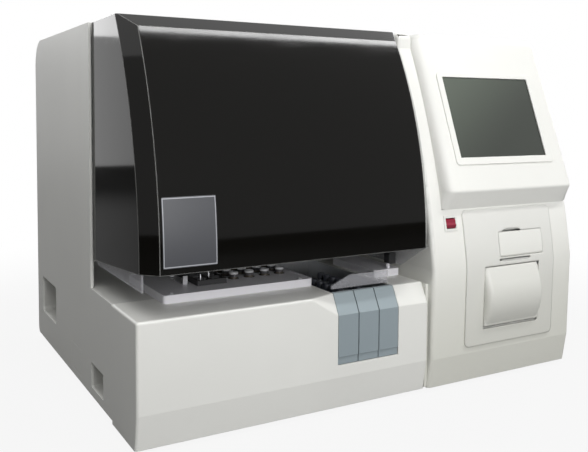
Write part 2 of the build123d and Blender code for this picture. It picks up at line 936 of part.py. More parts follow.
# Sample racks: a bevelled handle in line with the fascia, a carrier with wells, and tubes
rack_low = lane_floor + lane_lift
tube_low = rack_low + rack_floor
for index, rack_left in enumerate(rack_lefts):
    rack_middle = rack_left + rack_width / 2
    wells_y = (handle_depth + rack_length) / 2
    with BuildPart() as rack:
        with BuildSketch(side_plane(rack_left)):
            with BuildLine():
                Polyline(
                    (handle_step_depth, rack_low),
                    (handle_step_depth, rack_low + handle_step),
                    (0, rack_low + handle_step),
                    (0, deck_height - bevel_drop),
                    (bevel_depth, deck_height),
                    (bevel_depth + handle_lip, deck_height),
                    (handle_depth, deck_height - bevel_drop),
                    (handle_depth, rack_low),
                    close=True,
                )
            make_face()
        extrude(amount=rack_width)
        block(
            (rack_middle - rack_body_width / 2, rack_middle + rack_body_width / 2),
            (handle_depth, rack_length),
            (rack_low, rack_low + rack_body_height),
        )
        with BuildSketch(level_plane(tube_low)):
            with Locations((rack_middle, wells_y)):
                with GridLocations(0, tube_pitch, 1, tube_count):
                    Circle(tube_d / 2 + slide_gap)
        extrude(amount=rack_body_height, mode=Mode.SUBTRACT)
    save(rack, f"rack_{index + 1}")

    with BuildPart() as rack_tubes:
        with BuildSketch(level_plane(tube_low)):
            with Locations((rack_middle, wells_y)):
                with GridLocations(0, tube_pitch, 1, tube_count):
                    Circle(tube_d / 2)
        extrude(amount=tube_length)
        with BuildSketch(level_plane(tube_low + tube_length - stopper_height / 2)):
            with Locations((rack_middle, wells_y)):
                with GridLocations(0, tube_pitch, 1, tube_count):
                    Circle(stopper_d / 2)
        extrude(amount=stopper_height)
    save(rack_tubes, f"rack_{index + 1}_tubes")

# Rack guard: a clear plate over the rack entry, standing on the fascia right of the lane
guard_rear = guard_y + guard_thick / 2
with BuildPart() as rack_guard:
    with BuildSketch(face_plane(guard_rear)):
        with BuildLine():
            Polyline(
                (guard_left, deck_height + lane_lift),
                (guard_left, guard_low),
                (guard_left + guard_slope, guard_high),
                (guard_right, guard_high),
                (guard_right, deck_height),
                (lane_right + lane_lift, deck_height),
                (lane_right + lane_lift, deck_height + lane_lift),
                close=True,
            )
        make_face()
    extrude(amount=guard_thick)
    block(
        (lane_right + lane_lift, guard_right),
        (guard_rear, guard_rear + guard_foot),
        (deck_height, deck_height + guard_thick),
    )
save(rack_guard, "rack_guard")

# Right tray with the pin that the closed hood comes to rest on
with BuildPart() as right_tray:
    with BuildSketch(level_plane(deck_height)):
        span_box((right_tray_left, right_tray_right), (tray_front, right_tray_rear), tray_corner_r)
    extrude(amount=tray_height)
    with BuildSketch(level_plane(tray_top)):
        with Locations((stop_pin_x, stop_pin_y)):
            Circle(stop_pin_d / 2)
    extrude(amount=stop_pin_height)
save(right_tray, "right_tray")

# Optical block: a stepped body with two rows of measuring wells
with BuildPart() as optical_block:
    with BuildSketch(side_plane(optics_left)):
        with BuildLine():
            Polyline(
                (optics_front, deck_height),
                (optics_front, deck_height + optics_height - optics_step),
                (optics_front + optics_step, deck_height + optics_height),
                (optics_rear, deck_height + optics_height),
                (optics_rear, deck_height),
                close=True,
            )
        make_face()
    extrude(amount=optics_right - optics_left)
    with BuildSketch(level_plane(deck_height + optics_height - well_depth)):
        with Locations(((optics_left + optics_right) / 2, (optics_front + optics_step + optics_rear) / 2)):
            with GridLocations(well_pitch, well_row_pitch, well_columns, well_rows):
                Rectangle(well_size, well_size)
    extrude(amount=well_depth, mode=Mode.SUBTRACT)
save(optical_block, "optical_block")

# Chamber walls: one sheet folded round the left, back and right of the working chamber
chamber_front = cover_front + sheet
chamber_right = fascia_width
with BuildPart() as chamber_walls:
    with BuildSketch(level_plane(deck_height)):
        span_box((panel_thick, chamber_right), (chamber_front, deck_depth))
        with Locations(((panel_thick + chamber_right) / 2, (chamber_front + deck_depth) / 2 - sheet)):
            Rectangle(
                chamber_right - panel_thick - 2 * sheet,
                deck_depth - chamber_front,
                mode=Mode.SUBTRACT,
            )
    extrude(amount=body_height - sheet - deck_height)
save(chamber_walls, "chamber_walls")

# Gantry beam: a grooved extrusion with the linear rail on its front
beam_middle_z = beam_low + beam_height / 2
rail_front = beam_y - rail_depth
with BuildPart() as gantry_beam:
    with BuildSketch(side_plane(beam_left)):
        span_box((beam_y, beam_y + beam_depth), (beam_low, beam_low + beam_height))
        for groove_z in (beam_low, beam_low + beam_height):
            with Locations((beam_y + beam_depth / 2, groove_z)):
                Rectangle(beam_groove, beam_groove, mode=Mode.SUBTRACT)
        for groove_z in (beam_low + beam_groove_inset, beam_low + beam_height - beam_groove_inset):
            with Locations((beam_y, groove_z)):
                Rectangle(beam_groove, beam_groove, mode=Mode.SUBTRACT)
    extrude(amount=beam_right - beam_left)
    block(
        (beam_left + rail_end_gap, beam_right - rail_end_gap),
        (rail_front, beam_y),
        (beam_middle_z - rail_height / 2, beam_middle_z + rail_height / 2),
    )
save(gantry_beam, "gantry_beam")

# Gantry brackets: two plates that hold the beam off the back wall
with BuildPart() as gantry_brackets:
    for bracket_x in (beam_left + beam_bracket_width, beam_right - 2 * beam_bracket_width):
        block(
            (bracket_x, bracket_x + beam_bracket_width),
            (beam_y + beam_depth, deck_depth - sheet),
            (beam_low - beam_bracket_rise, beam_low + beam_height),
        )
save(gantry_brackets, "gantry_brackets")

# Travelling carriage: a block that runs on the rail
carriage_front = beam_y - slide_gap - carriage_depth
with BuildPart() as x_carriage:
    with BuildSketch(side_plane(carriage_x - carriage_width / 2)):
        span_box(
            (carriage_front, beam_y - slide_gap),
            (beam_middle_z - carriage_height / 2, beam_middle_z + carriage_height / 2),
        )
        with Locations((beam_y, beam_middle_z)):
            Rectangle(
                2 * (rail_depth + slide_gap), rail_height + 2 * slide_gap, mode=Mode.SUBTRACT
            )
    extrude(amount=carriage_width)
    fillet(x_carriage.edges().filter_by(Axis.Z).group_by(Axis.Y)[0], slide_fillet)
save(x_carriage, "x_carriage")

# Arm: a grooved beam that reaches forward from the carriage
with BuildPart() as y_arm:
    with BuildSketch(face_plane(carriage_front)):
        with Locations((carriage_x, beam_middle_z)):
            Rectangle(arm_width, arm_height)
            with Locations((-arm_width / 2, 0), (arm_width / 2, 0)):
                Rectangle(arm_groove, arm_groove, mode=Mode.SUBTRACT)
    extrude(amount=carriage_front - arm_tip)
save(y_arm, "y_arm")

# Head: a sleeve on the arm with an upright mast and the needle's guide
sleeve_side = arm_width / 2 + slide_gap + head_wall
sleeve_rise = arm_height / 2 + slide_gap + head_wall
mast_x = carriage_x + sleeve_side
needle_x = mast_x + mast_thick + slide_gap + holder_width / 2
with BuildPart() as y_head:
    with BuildSketch(face_plane(head_y + head_length / 2)):
        with Locations((carriage_x, beam_middle_z)):
            Rectangle(2 * sleeve_side, 2 * sleeve_rise)
            Rectangle(arm_width + 2 * slide_gap, arm_height + 2 * slide_gap, mode=Mode.SUBTRACT)
    extrude(amount=head_length)
    block(
        (mast_x, mast_x + mast_thick),
        (head_y - mast_depth / 2, head_y + mast_depth / 2),
        (mast_low, mast_high),
    )
    block(
        (mast_x + mast_thick, needle_x + holder_width / 2),
        (head_y - holder_depth / 2, head_y + holder_depth / 2),
        (mast_low, mast_low + guide_height),
    )
    with BuildSketch(level_plane(mast_low - overrun)):
        with Locations((needle_x, head_y)):
            Circle(needle_d / 2 + pin_gap)
    extrude(amount=guide_height + 2 * overrun, mode=Mode.SUBTRACT)
save(y_head, "y_head")

# Probe: a holder on the mast with the needle under it
holder_low = mast_high - panel_thick - holder_height
with BuildPart() as z_probe:
    block(
        (needle_x - holder_width / 2, needle_x + holder_width / 2),
        (head_y - holder_depth / 2, head_y + holder_depth / 2),
        (holder_low, holder_low + holder_height),
    )
    with BuildSketch(level_plane(needle_tip)):
        with Locations((needle_x, head_y)):
            Circle(needle_d / 2)
    extrude(amount=holder_low - needle_tip)
save(z_probe, "z_probe")

# The tower's front from the side: a leaning foot, a straight waist and a long arc to the crest
tower_chord = hypot(crest_y - waist_y, crest_z - waist_z)
tower_reach = sqrt(tower_curve_r**2 - tower_chord**2 / 4) / tower_chord
tower_centre_y = (waist_y + crest_y) / 2 + (crest_z - waist_z) * tower_reach
tower_centre_z = (waist_z + crest_z) / 2 - (crest_y - waist_y) * tower_reach


def tower_y(z):
    """Depth of the tower's curved front at a height between the waist and the crest."""
    return tower_centre_y - sqrt(tower_curve_r**2 - (z - tower_centre_z) ** 2)


def tower_outline(shift, low, high, rear):
    """Closed outline of the tower from the side, with its front moved back by shift."""
    middle_z = (waist_z + crest_z) / 2
    Polyline(
        (rear, low),
        (tower_foot_y + shift, low),
        (tower_foot_y + shift, 0),
        (tower_band_y + shift, band_height),
        (waist_y + shift, waist_z),
    )
    ThreePointArc(
        (waist_y + shift, waist_z),
        (tower_y(middle_z) + shift, middle_z),
        (crest_y + shift, crest_z),
    )
    Polyline((crest_y + shift, crest_z), (crest_y + shift, high), (rear, high), (rear, low))


# Seat of the rocker switch, square to the curved front
switch_lean = degrees(asin((switch_z - tower_centre_z) / tower_curve_r))
switch_plane = Plane(
    origin=(left + switch_x, front + tower_y(switch_z), base + switch_z),
    x_dir=(1, 0, 0),
    z_dir=Vector(0, -1, 0).rotate(Axis.X, -switch_lean),
)

# Tower fascia: a shell that wraps the front, top and sides, open where the monitor sits
with BuildPart() as tower_fascia:
    with BuildSketch(side_plane(tower_left)):
        with BuildLine():
            Polyline(
                (cover_front, 0),
                (tower_foot_y, 0),
                (tower_band_y, band_height),
                (waist_y, waist_z),
            )
            ThreePointArc(
                (waist_y, waist_z),
                (tower_y((waist_z + crest_z) / 2), (waist_z + crest_z) / 2),
                (crest_y, crest_z),
            )
            Polyline(
                (crest_y, crest_z), (crest_y, body_height), (cover_front, body_height), (cover_front, 0)
            )
        make_face()
    extrude(amount=right - tower_left)
    crest_edge = tower_fascia.edges().filter_by(Axis.X).group_by(Axis.Z)[-1].sort_by(Axis.Y)[0]
    fillet(crest_edge, tower_top_r)
    for side in (0, -1):
        rim = tower_fascia.edges().group_by(Axis.X)[side]
        rim = rim.filter_by(lambda edge: edge.center().Y < front + cover_front - sheet)
        rim = rim.filter_by(lambda edge: edge.center().Z > base + sheet)
        fillet(rim, tower_edge_r)
    with BuildSketch(side_plane(tower_left + moulding_wall)):
        with BuildLine():
            tower_outline(
                moulding_wall, -overrun, body_height - moulding_wall, cover_front + overrun
            )
        make_face()
    extrude(amount=right - tower_left - 2 * moulding_wall, mode=Mode.SUBTRACT)
    block(
        (monitor_left, right + overrun),
        (-body_depth, cover_front + overrun),
        (monitor_low, body_height + overrun),
        Mode.SUBTRACT,
    )
    block(
        (panel_left + panel_lap, panel_right - panel_lap),
        (-body_depth, cover_front / 2),
        (panel_low + panel_lap, panel_high - panel_lap),
        Mode.SUBTRACT,
    )
    with BuildSketch(switch_plane.offset(overrun)):
        Rectangle(switch_width + 2 * panel_gap, switch_height + 2 * panel_gap)
    extrude(amount=-switch_depth - 2 * overrun, mode=Mode.SUBTRACT)
    block((fascia_width, tower_left), (tongue_setback, cover_front), (sheet, deck_height - sheet))
    block(
        (fascia_width, tower_left + 2 * moulding_wall),
        (pan_front - sheet, cover_front + overrun),
        (-overrun, sheet),
        Mode.SUBTRACT,
    )
save(tower_fascia, "tower_fascia")

# Monitor housing: a leaning wedge that stands proud of the tower
monitor_slope = tan(radians(monitor_lean))
monitor_tip = (monitor_tip_y - (monitor_tip_z - monitor_edge_z) * monitor_slope, monitor_edge_z)
monitor_crest = (monitor_tip_y + (body_height - monitor_tip_z) * monitor_slope, body_height)
monitor_plane = Plane(
    origin=(left, front + monitor_tip_y, base + monitor_tip_z),
    x_dir=(1, 0, 0),
    z_dir=Vector(0, -1, 0).rotate(Axis.X, -monitor_lean),
)
screen_middle = (screen_left + screen_width / 2, screen_low + screen_height / 2)
with BuildPart() as monitor_housing:
    with BuildSketch(side_plane(monitor_left)):
        with BuildLine():
            Polyline(
                (cover_front, monitor_low),
                (tower_y(monitor_low), monitor_low),
                monitor_tip,
                monitor_crest,
                (cover_front, body_height),
                close=True,
            )
        make_face()
    extrude(amount=right - monitor_left)
    tip_edge = monitor_housing.edges().filter_by(Axis.X).sort_by(Axis.Y)[0]
    fillet(tip_edge, monitor_tip_r)
    crest_edge = monitor_housing.edges().filter_by(Axis.X).group_by(Axis.Z)[-1].sort_by(Axis.Y)[0]
    fillet(crest_edge, monitor_top_r)
    for side in (0, -1):
        rim = monitor_housing.edges().group_by(Axis.X)[side]
        rim = rim.filter_by(lambda edge: edge.center().Y < front + cover_front - sheet)
        rim = rim.filter_by(lambda edge: edge.center().Z > base + monitor_low + sheet)
        fillet(rim, monitor_edge_r)
    rear_face = monitor_housing.faces().sort_by(Axis.Y)[-1:]
    open_faces = rear_face + monitor_housing.faces().sort_by(Axis.Z)[:1]
    offset(amount=-moulding_wall, openings=open_faces)
    with BuildSketch(monitor_plane.offset(overrun)):
        with Locations(screen_middle):
            Rectangle(
                screen_width + 2 * screen_edge + panel_gap, screen_height + 2 * screen_edge + panel_gap
            )
    extrude(amount=-2 * overrun, mode=Mode.SUBTRACT)
save(monitor_housing, "monitor_housing")

# Screen frame: a low surround with soft corners on the leaning face
frame_width = screen_width + frame_side + frame_right_side
frame_height = screen_height + frame_top + frame_bottom
frame_middle = (
    screen_left - frame_side + frame_width / 2,
    screen_low - frame_bottom + frame_height / 2,
)
with BuildPart() as screen_frame:
    with BuildSketch(monitor_plane):
        with Locations(frame_middle):
            RectangleRounded(frame_width, frame_height, frame_corner_r)
        with Locations(screen_middle):
            Rectangle(screen_width, screen_height, mode=Mode.SUBTRACT)
    extrude(amount=frame_proud)
save(screen_frame, "screen_frame")

# Touch screen: a glass panel behind the surround
with BuildPart() as touch_screen:
    with BuildSketch(monitor_plane):
        with Locations(screen_middle):
            Rectangle(screen_width + 2 * screen_edge, screen_height + 2 * screen_edge)
    extrude(amount=-moulding_wall)
save(touch_screen, "touch_screen")

# Printer panel: a raised plate that follows the tower, open for the door, slot and flap
flap_pivot_z = flap_low + flap_barrel_r
flap_pivot_y = tower_y(flap_pivot_z) - panel_proud + flap_barrel_r
with BuildPart() as printer_panel:
    with BuildSketch(side_plane(panel_left)):
        with BuildLine():
            tower_outline(-panel_proud, -overrun, body_height, cover_front)
        make_face()
        with BuildLine():
            tower_outline(0, -2 * overrun, body_height + overrun, cover_front + overrun)
        make_face(mode=Mode.SUBTRACT)
    extrude(amount=panel_right - panel_left)
    with BuildSketch(face_plane(cover_front)):
        span_box((panel_left, panel_right), (panel_low, panel_high), panel_corner_r)
        with Locations(((door_left + door_right) / 2, (door_opening_low + door_opening_high) / 2)):
            Rectangle(
                door_right - door_left, door_opening_high - door_opening_low, mode=Mode.SUBTRACT
            )
        with Locations(((slot_left + slot_right) / 2, (slot_low + slot_high) / 2)):
            Rectangle(slot_right - slot_left, slot_high - slot_low, mode=Mode.SUBTRACT)
        with Locations(((flap_left + flap_right) / 2, (flap_low + flap_high) / 2)):
            Rectangle(flap_right - flap_left, flap_high - flap_low, mode=Mode.SUBTRACT)
        with Locations((notch_x, flap_high)):
            Ellipse(notch_width / 2, notch_height, mode=Mode.SUBTRACT)
    extrude(amount=body_depth, mode=Mode.INTERSECT)
save(printer_panel, "printer_panel")

# Printer flap: a piece of the same curved plate on a round barrel
with BuildPart() as printer_flap:
    with BuildSketch(side_plane(flap_left + panel_gap)):
        with BuildLine():
            tower_outline(-panel_proud, -overrun, body_height, cover_front)
        make_face()
        with BuildLine():
            tower_outline(0, -2 * overrun, body_height + overrun, cover_front + overrun)
        make_face(mode=Mode.SUBTRACT)
        with Locations(((tower_foot_y + waist_y) / 2, (flap_pivot_z + flap_high - panel_gap) / 2)):
            Rectangle(
                cover_front, flap_high - panel_gap - flap_pivot_z, mode=Mode.INTERSECT
            )
        with Locations((flap_pivot_y, flap_pivot_z)):
            Circle(flap_barrel_r)
            Circle(flap_pin_r + pin_gap, mode=Mode.SUBTRACT)
    extrude(amount=flap_right - flap_left - 2 * panel_gap)
save(printer_flap, "printer_flap")

def door_body(inset, behind):
    """Solid of the door with its faces moved in by inset, its back moved by behind, its ends rounded."""
    low = door_low + inset
    high = door_high - inset
    sill_y = tower_y(waist_z) - panel_proud + inset
    with BuildPart() as body:
        with BuildSketch(side_plane(door_left + panel_gap + inset)):
            with BuildLine():
                Polyline(
                    (sill_y, door_low + door_lug_r),
                    (sill_y, low),
                    (door_back + behind, low),
                    (door_back + behind, high),
                    (sill_y, high),
                    (door_shoulder_y + inset, door_shoulder_z),
                )
                ThreePointArc(
                    (door_shoulder_y + inset, door_shoulder_z),
                    (inset - bulge_out, door_belly_z),
                    (sill_y, door_low + door_lug_r),
                )
            make_face()
        extrude(amount=door_right - door_left - 2 * (panel_gap + inset))
        upright = body.edges().filter_by(Axis.X, reverse=True)
        belly = upright.filter_by_position(Axis.Z, door_sill_z, base + high - inset, (False, False))
        fillet(belly.filter_by(lambda edge: edge.center().Y < front + sill_y), door_end_r - inset)
    return body.part


# Printer door: a flat sill and a belly with round ends that clears the paper roll, hollow behind
door_sill_z = base + door_low + door_lug_r
with BuildPart() as printer_door:
    add(door_body(0, 0))
    add(door_body(door_wall, overrun), mode=Mode.SUBTRACT)
    for lug_x, lug_y, lug_z, lug_r, bore_r in (
        (door_left + panel_gap, door_pivot_y, door_pivot_z, door_lug_r, door_pin_r),
        (door_right - panel_gap - door_wall, door_pivot_y, door_pivot_z, door_lug_r, door_pin_r),
        (door_left + panel_gap, platen_y, platen_z, platen_r, platen_shaft_r),
        (door_right - panel_gap - door_wall, platen_y, platen_z, platen_r, platen_shaft_r),
    ):
        with BuildSketch(side_plane(lug_x)):
            with Locations((lug_y, lug_z)):
                Circle(lug_r)
            with Locations(((lug_y + door_back) / 2 - lug_r / 2, lug_z)):
                Rectangle(lug_y - door_back + lug_r, 2 * lug_r)
        extrude(amount=door_wall)
        with BuildSketch(side_plane(lug_x - overrun)):
            with Locations((lug_y, lug_z)):
                Circle(bore_r + pin_gap)
        extrude(amount=door_wall + 2 * overrun, mode=Mode.SUBTRACT)
save(printer_door, "printer_door")

# Platen roller: a rubber roller on a thin shaft between the door's upper lugs
with BuildPart() as platen_roller:
    with BuildSketch(side_plane((slot_left + slot_right - roll_width) / 2)):
        with Locations((platen_y, platen_z)):
            Circle(platen_r)
    extrude(amount=roll_width)
    with BuildSketch(side_plane(door_left + 2 * panel_gap)):
        with Locations((platen_y, platen_z)):
            Circle(platen_shaft_r)
    extrude(amount=door_right - door_left - 4 * panel_gap)
save(platen_roller, "platen_roller")

# Printer chassis: roll compartment with spindle and print head, pocket behind the flap, and pins
chassis_wall = sheet
compartment_right = door_right + panel_gap
pocket_front = tower_y(chassis_high) + panel_gap
with BuildPart() as printer_chassis:
    block(
        (chassis_left, chassis_right), (chassis_front, chassis_rear), (chassis_low, chassis_high)
    )
    block(
        (chassis_left + chassis_wall, compartment_right),
        (chassis_front - overrun, chassis_rear - chassis_wall),
        (chassis_low + chassis_wall, chassis_shelf_low),
        Mode.SUBTRACT,
    )
    block(
        (flap_left, flap_right),
        (chassis_front - overrun, pocket_front + pocket_depth),
        (chassis_shelf_low + chassis_wall, chassis_high - chassis_wall),
        Mode.SUBTRACT,
    )
    block(
        ((slot_left + slot_right - roll_width) / 2, (slot_left + slot_right + roll_width) / 2),
        (platen_y + platen_r + head_bar_gap, platen_y + platen_r + head_bar_gap + head_bar_depth),
        (chassis_shelf_low - head_bar_height, chassis_shelf_low),
    )
    with BuildSketch(side_plane(chassis_left + chassis_wall)):
        with Locations((roll_y, roll_z)):
            Circle(spindle_r)
    extrude(amount=compartment_right - chassis_left - chassis_wall)
    for pin_left, pin_right in (
        (chassis_left, door_left + panel_gap + door_wall),
        (door_right - panel_gap - door_wall, chassis_right),
    ):
        with BuildSketch(side_plane(pin_left)):
            with Locations((door_pivot_y, door_pivot_z)):
                Circle(door_pin_r)
        extrude(amount=pin_right - pin_left)
    block(
        (chassis_left - overrun, chassis_right + overrun),
        (chassis_front - overrun, pocket_front),
        (chassis_shelf_low + chassis_wall, chassis_high + overrun),
        Mode.SUBTRACT,
    )
    for lug_left in (flap_left - flap_lug, flap_right):
        block(
            (lug_left, lug_left + flap_lug),
            (flap_pivot_y - flap_pin_r, pocket_front + chassis_wall),
            (flap_pivot_z - flap_lug, flap_pivot_z + 2 * flap_pin_r),
        )
    for pin_left, pin_right in (
        (flap_left - flap_lug, flap_left + flap_lug),
        (flap_right - flap_lug, flap_right + flap_lug),
    ):
        with BuildSketch(side_plane(pin_left)):
            with Locations((flap_pivot_y, flap_pivot_z)):
                Circle(flap_pin_r)
        extrude(amount=pin_right - pin_left)
save(printer_chassis, "printer_chassis")

# Paper roll: a hollow roll that turns on the spindle
with BuildPart() as paper_roll:
    with BuildSketch(side_plane((slot_left + slot_right - roll_width) / 2)):
        with Locations((roll_y, roll_z)):
            Circle(roll_r)
            Circle(spindle_r + pin_gap, mode=Mode.SUBTRACT)
    extrude(amount=roll_width)
save(paper_roll, "paper_roll")

# Switch bezel: a flanged sleeve square to the tower's front, with the rocker's pins
with BuildPart() as switch_bezel:
    with BuildSketch(switch_plane.offset(switch_proud)):
        Rectangle(switch_width + 2 * switch_flange, switch_height + 2 * switch_flange)
    extrude(amount=-switch_proud)
    with BuildSketch(switch_plane):
        Rectangle(switch_width, switch_height)
    extrude(amount=-switch_depth)
    with BuildSketch(switch_plane.offset(switch_proud)):
        Rectangle(switch_width - switch_wall, switch_height - switch_wall)
    extrude(amount=switch_proud - switch_depth + switch_wall, mode=Mode.SUBTRACT)
    with BuildSketch(Plane(switch_plane.offset(-rocker_pivot_depth).origin, z_dir=(1, 0, 0))):
        Circle(rocker_pin_r)
    extrude(amount=(switch_width - switch_wall) / 2, both=True)
save(switch_bezel, "switch_bezel")

# Power rocker: a shallow vee on a round body, pressed in at its upper end
rocker_r = (switch_height - switch_wall) / 2 - slide_gap
rocker_plane = Plane(
    origin=switch_plane.offset(-rocker_pivot_depth).origin,
    x_dir=Vector(0, -1, 0).rotate(Axis.X, -switch_lean - rocker_half_angle),
    z_dir=(1, 0, 0),
)
rocker_width = switch_width - switch_wall - 2 * slide_gap
with BuildPart() as power_rocker:
    with BuildSketch(rocker_plane.offset(-rocker_width / 2)):
        Circle(rocker_r)
        with BuildLine():
            Polyline(
                (-rocker_back, -rocker_r),
                (rocker_pivot_depth + rocker_crest, -rocker_r),
                (rocker_pivot_depth + rocker_valley, 0),
                (rocker_pivot_depth + rocker_crest, rocker_r),
                (-rocker_back, rocker_r),
                close=True,
            )
        make_face(mode=Mode.INTERSECT)
        Circle(rocker_pin_r + pin_gap, mode=Mode.SUBTRACT)
    extrude(amount=rocker_width)
save(power_rocker, "power_rocker")

# Hinge places: each ear is followed by its bracket, the same way in from both ends of the hood
ear_left = hood_left + hinge_inset
bracket_left = ear_left + hinge_ear_thick + bracket_gap


def both_ends(span):
    """A span near the hood's left end, and the same span mirrored to its right end."""
    return span, (hood_left + hood_right - span[1], hood_left + hood_right - span[0])


def hood_body(inset, below, behind):
    """Bevelled solid of the hood with its faces moved in by inset, longer below and behind."""
    radius = hood_curve_r - inset
    top = body_height - inset
    lip = (hood_lip_y + inset, hood_lip_z)
    crown = (lip[0] + radius - sqrt(radius**2 - (top - hood_lip_z) ** 2), top)
    foot = [(lip[0], hood_lip_z - below)] if below else []
    with BuildPart() as body:
        with BuildSketch(side_plane(hood_left + inset)):
            with BuildLine():
                TangentArc(lip, crown, tangent=(0, 1))
                Polyline(
                    crown,
                    (hood_rear + behind, top),
                    (hood_rear + behind, hood_rear_z - below),
                    (hood_lip_y + hood_bevel, hood_lip_z - below),
                    *foot,
                    lip,
                )
            make_face()
        extrude(amount=hood_right - hood_left - 2 * inset)
        top_edge = body.edges().filter_by(Axis.X).group_by(Axis.Z)[-1].sort_by(Axis.Y)[:1]
        side_edges = body.edges().filter_by(GeomType.CIRCLE)
        lip_edges = body.edges().filter_by(Axis.Z).group_by(Axis.Y)[0] if below else []
        chamfer(side_edges + top_edge + lip_edges, hood_bevel - inset * bevel_loss_share)
    return body.part


# Smoked hood: a curved pane with an even bevel on its left, top and right, hollow behind
hood_core = hood_body(hood_wall, overrun, overrun)
with BuildPart() as hood_shell:
    add(hood_body(0, 0, 0))
    add(hood_core, mode=Mode.SUBTRACT)
    for notch_span in both_ends((bracket_left - bracket_gap, bracket_left + bracket_thick + bracket_gap)):
        block(
            notch_span,
            (hinge_y - 2 * hinge_ear_r, hood_rear + overrun),
            (body_height - 2 * hood_wall, body_height + overrun),
            Mode.SUBTRACT,
        )
save(hood_shell, "hood_shell")

# Hinge ears: plates under the hood's rear edge, each with a round end and a bore
with BuildPart() as hood_hinge_ears:
    for ear_span in both_ends((ear_left, ear_left + hinge_ear_thick)):
        with BuildSketch(side_plane(ear_span[0])):
            with Locations((hinge_y - hinge_ear_length / 2, hinge_z)):
                Rectangle(hinge_ear_length, 2 * hinge_ear_r)
            with Locations((hinge_y, hinge_z)):
                Circle(hinge_ear_r)
                Circle(hinge_pin_r + pin_gap, mode=Mode.SUBTRACT)
        extrude(amount=hinge_ear_thick)
save(hood_hinge_ears, "hood_hinge_ears")

# Hinge brackets: arms on the top cover's lip, each with a pin through its ear
bracket_r = hinge_ear_r - panel_gap
with BuildPart() as hinge_brackets:
    for bracket_span in both_ends((bracket_left, bracket_left + bracket_thick)):
        with BuildSketch(side_plane(bracket_span[0])):
            with Locations((hinge_y, hinge_z)):
                Circle(bracket_r)
            with Locations(((hinge_y + cover_front) / 2, hinge_z)):
                Rectangle(cover_front - hinge_y, 2 * bracket_r)
        extrude(amount=bracket_thick)
    for pin_span in both_ends((ear_left - bracket_gap, bracket_left + bracket_thick)):
        with BuildSketch(side_plane(pin_span[0])):
            with Locations((hinge_y, hinge_z)):
                Circle(hinge_pin_r)
        extrude(amount=pin_span[1] - pin_span[0])
save(hinge_brackets, "hinge_brackets")

# Clear skirts: plates inside the hood's sides that hang below its lower edge
skirt_front = hood_lip_y + hood_bevel
skirt_top = hood_lip_z + skirt_tuck
with BuildPart() as hood_skirts:
    with BuildSketch(side_plane(hood_left + hood_wall)):
        with BuildLine():
            Polyline(
                (skirt_front, hood_lip_z - panel_gap),
                (skirt_front, left_skirt_z),
                (hood_rear - skirt_inset, left_skirt_z),
                (hood_rear - skirt_inset, skirt_top),
                (skirt_front + skirt_inset, skirt_top),
                (skirt_front + skirt_inset, hood_lip_z - panel_gap),
                close=True,
            )
        make_face()
    extrude(amount=skirt_thick)
    with BuildSketch(side_plane(hood_right - hood_wall - skirt_thick)):
        with BuildLine():
            Polyline(
                (skirt_front - skirt_inset, hood_lip_z - panel_gap),
                (right_skirt_front, right_skirt_z),
                (hood_rear - skirt_inset, right_skirt_z),
                (hood_rear - skirt_inset, skirt_top),
                (skirt_front + skirt_inset, skirt_top),
                (skirt_front + skirt_inset, hood_lip_z - panel_gap),
                close=True,
            )
        make_face()
    extrude(amount=skirt_thick)
save(hood_skirts, "hood_skirts")

# Hood bumper: a block inside the right skirt, just over the stop pin when the hood is closed
bumper_low = tray_top + stop_pin_height + slide_gap
bumper_right = hood_right - hood_wall - skirt_thick
with BuildPart() as hood_bumper:
    block(
        (bumper_right - bumper_width, bumper_right),
        (stop_pin_y - bumper_depth / 2, stop_pin_y + bumper_depth / 2),
        (bumper_low, bumper_low + bumper_height),
    )
    chamfer(hood_bumper.faces().sort_by(Axis.X)[0].edges(), bumper_chamfer)
save(hood_bumper, "hood_bumper")

# Tower stand: a folded sheet on the base pan with a shelf for the printer chassis
with BuildPart() as tower_stand:
    block((stand_left, stand_right), (stand_y, stand_y + sheet), (sheet, stand_high))
    block((stand_left, stand_right), (stand_y, stand_y + stand_foot), (sheet, 2 * sheet))
    block(
        (chassis_left - stand_foot, chassis_right + stand_foot),
        (pan_front, stand_y),
        (chassis_low - sheet, chassis_low),
    )
save(tower_stand, "tower_stand")

# Control board: a board on four posts behind the stand
board_front = stand_y + sheet + board_stand
board_middle = ((stand_left + stand_right) / 2, board_low + board_height / 2)
with BuildPart() as control_board:
    with BuildSketch(face_plane(board_front + board_thick)):
        with Locations(board_middle):
            Rectangle(board_width, board_height)
    extrude(amount=board_thick)
    with BuildSketch(face_plane(board_front)):
        with Locations(board_middle):
            with GridLocations(board_width - 2 * board_stand, board_height - 2 * board_stand, 2, 2):
                Rectangle(board_stand, board_stand)
    extrude(amount=board_stand)
save(control_board, "control_board")

# Power supply: a chamfered steel box on the base pan
with BuildPart() as power_supply:
    block(
        (supply_left, supply_left + supply_width),
        (supply_front, supply_front + supply_depth),
        (sheet, sheet + supply_height),
    )
    chamfer(power_supply.faces().sort_by(Axis.Z)[-1].edges(), supply_chamfer)
save(power_supply, "power_supply")

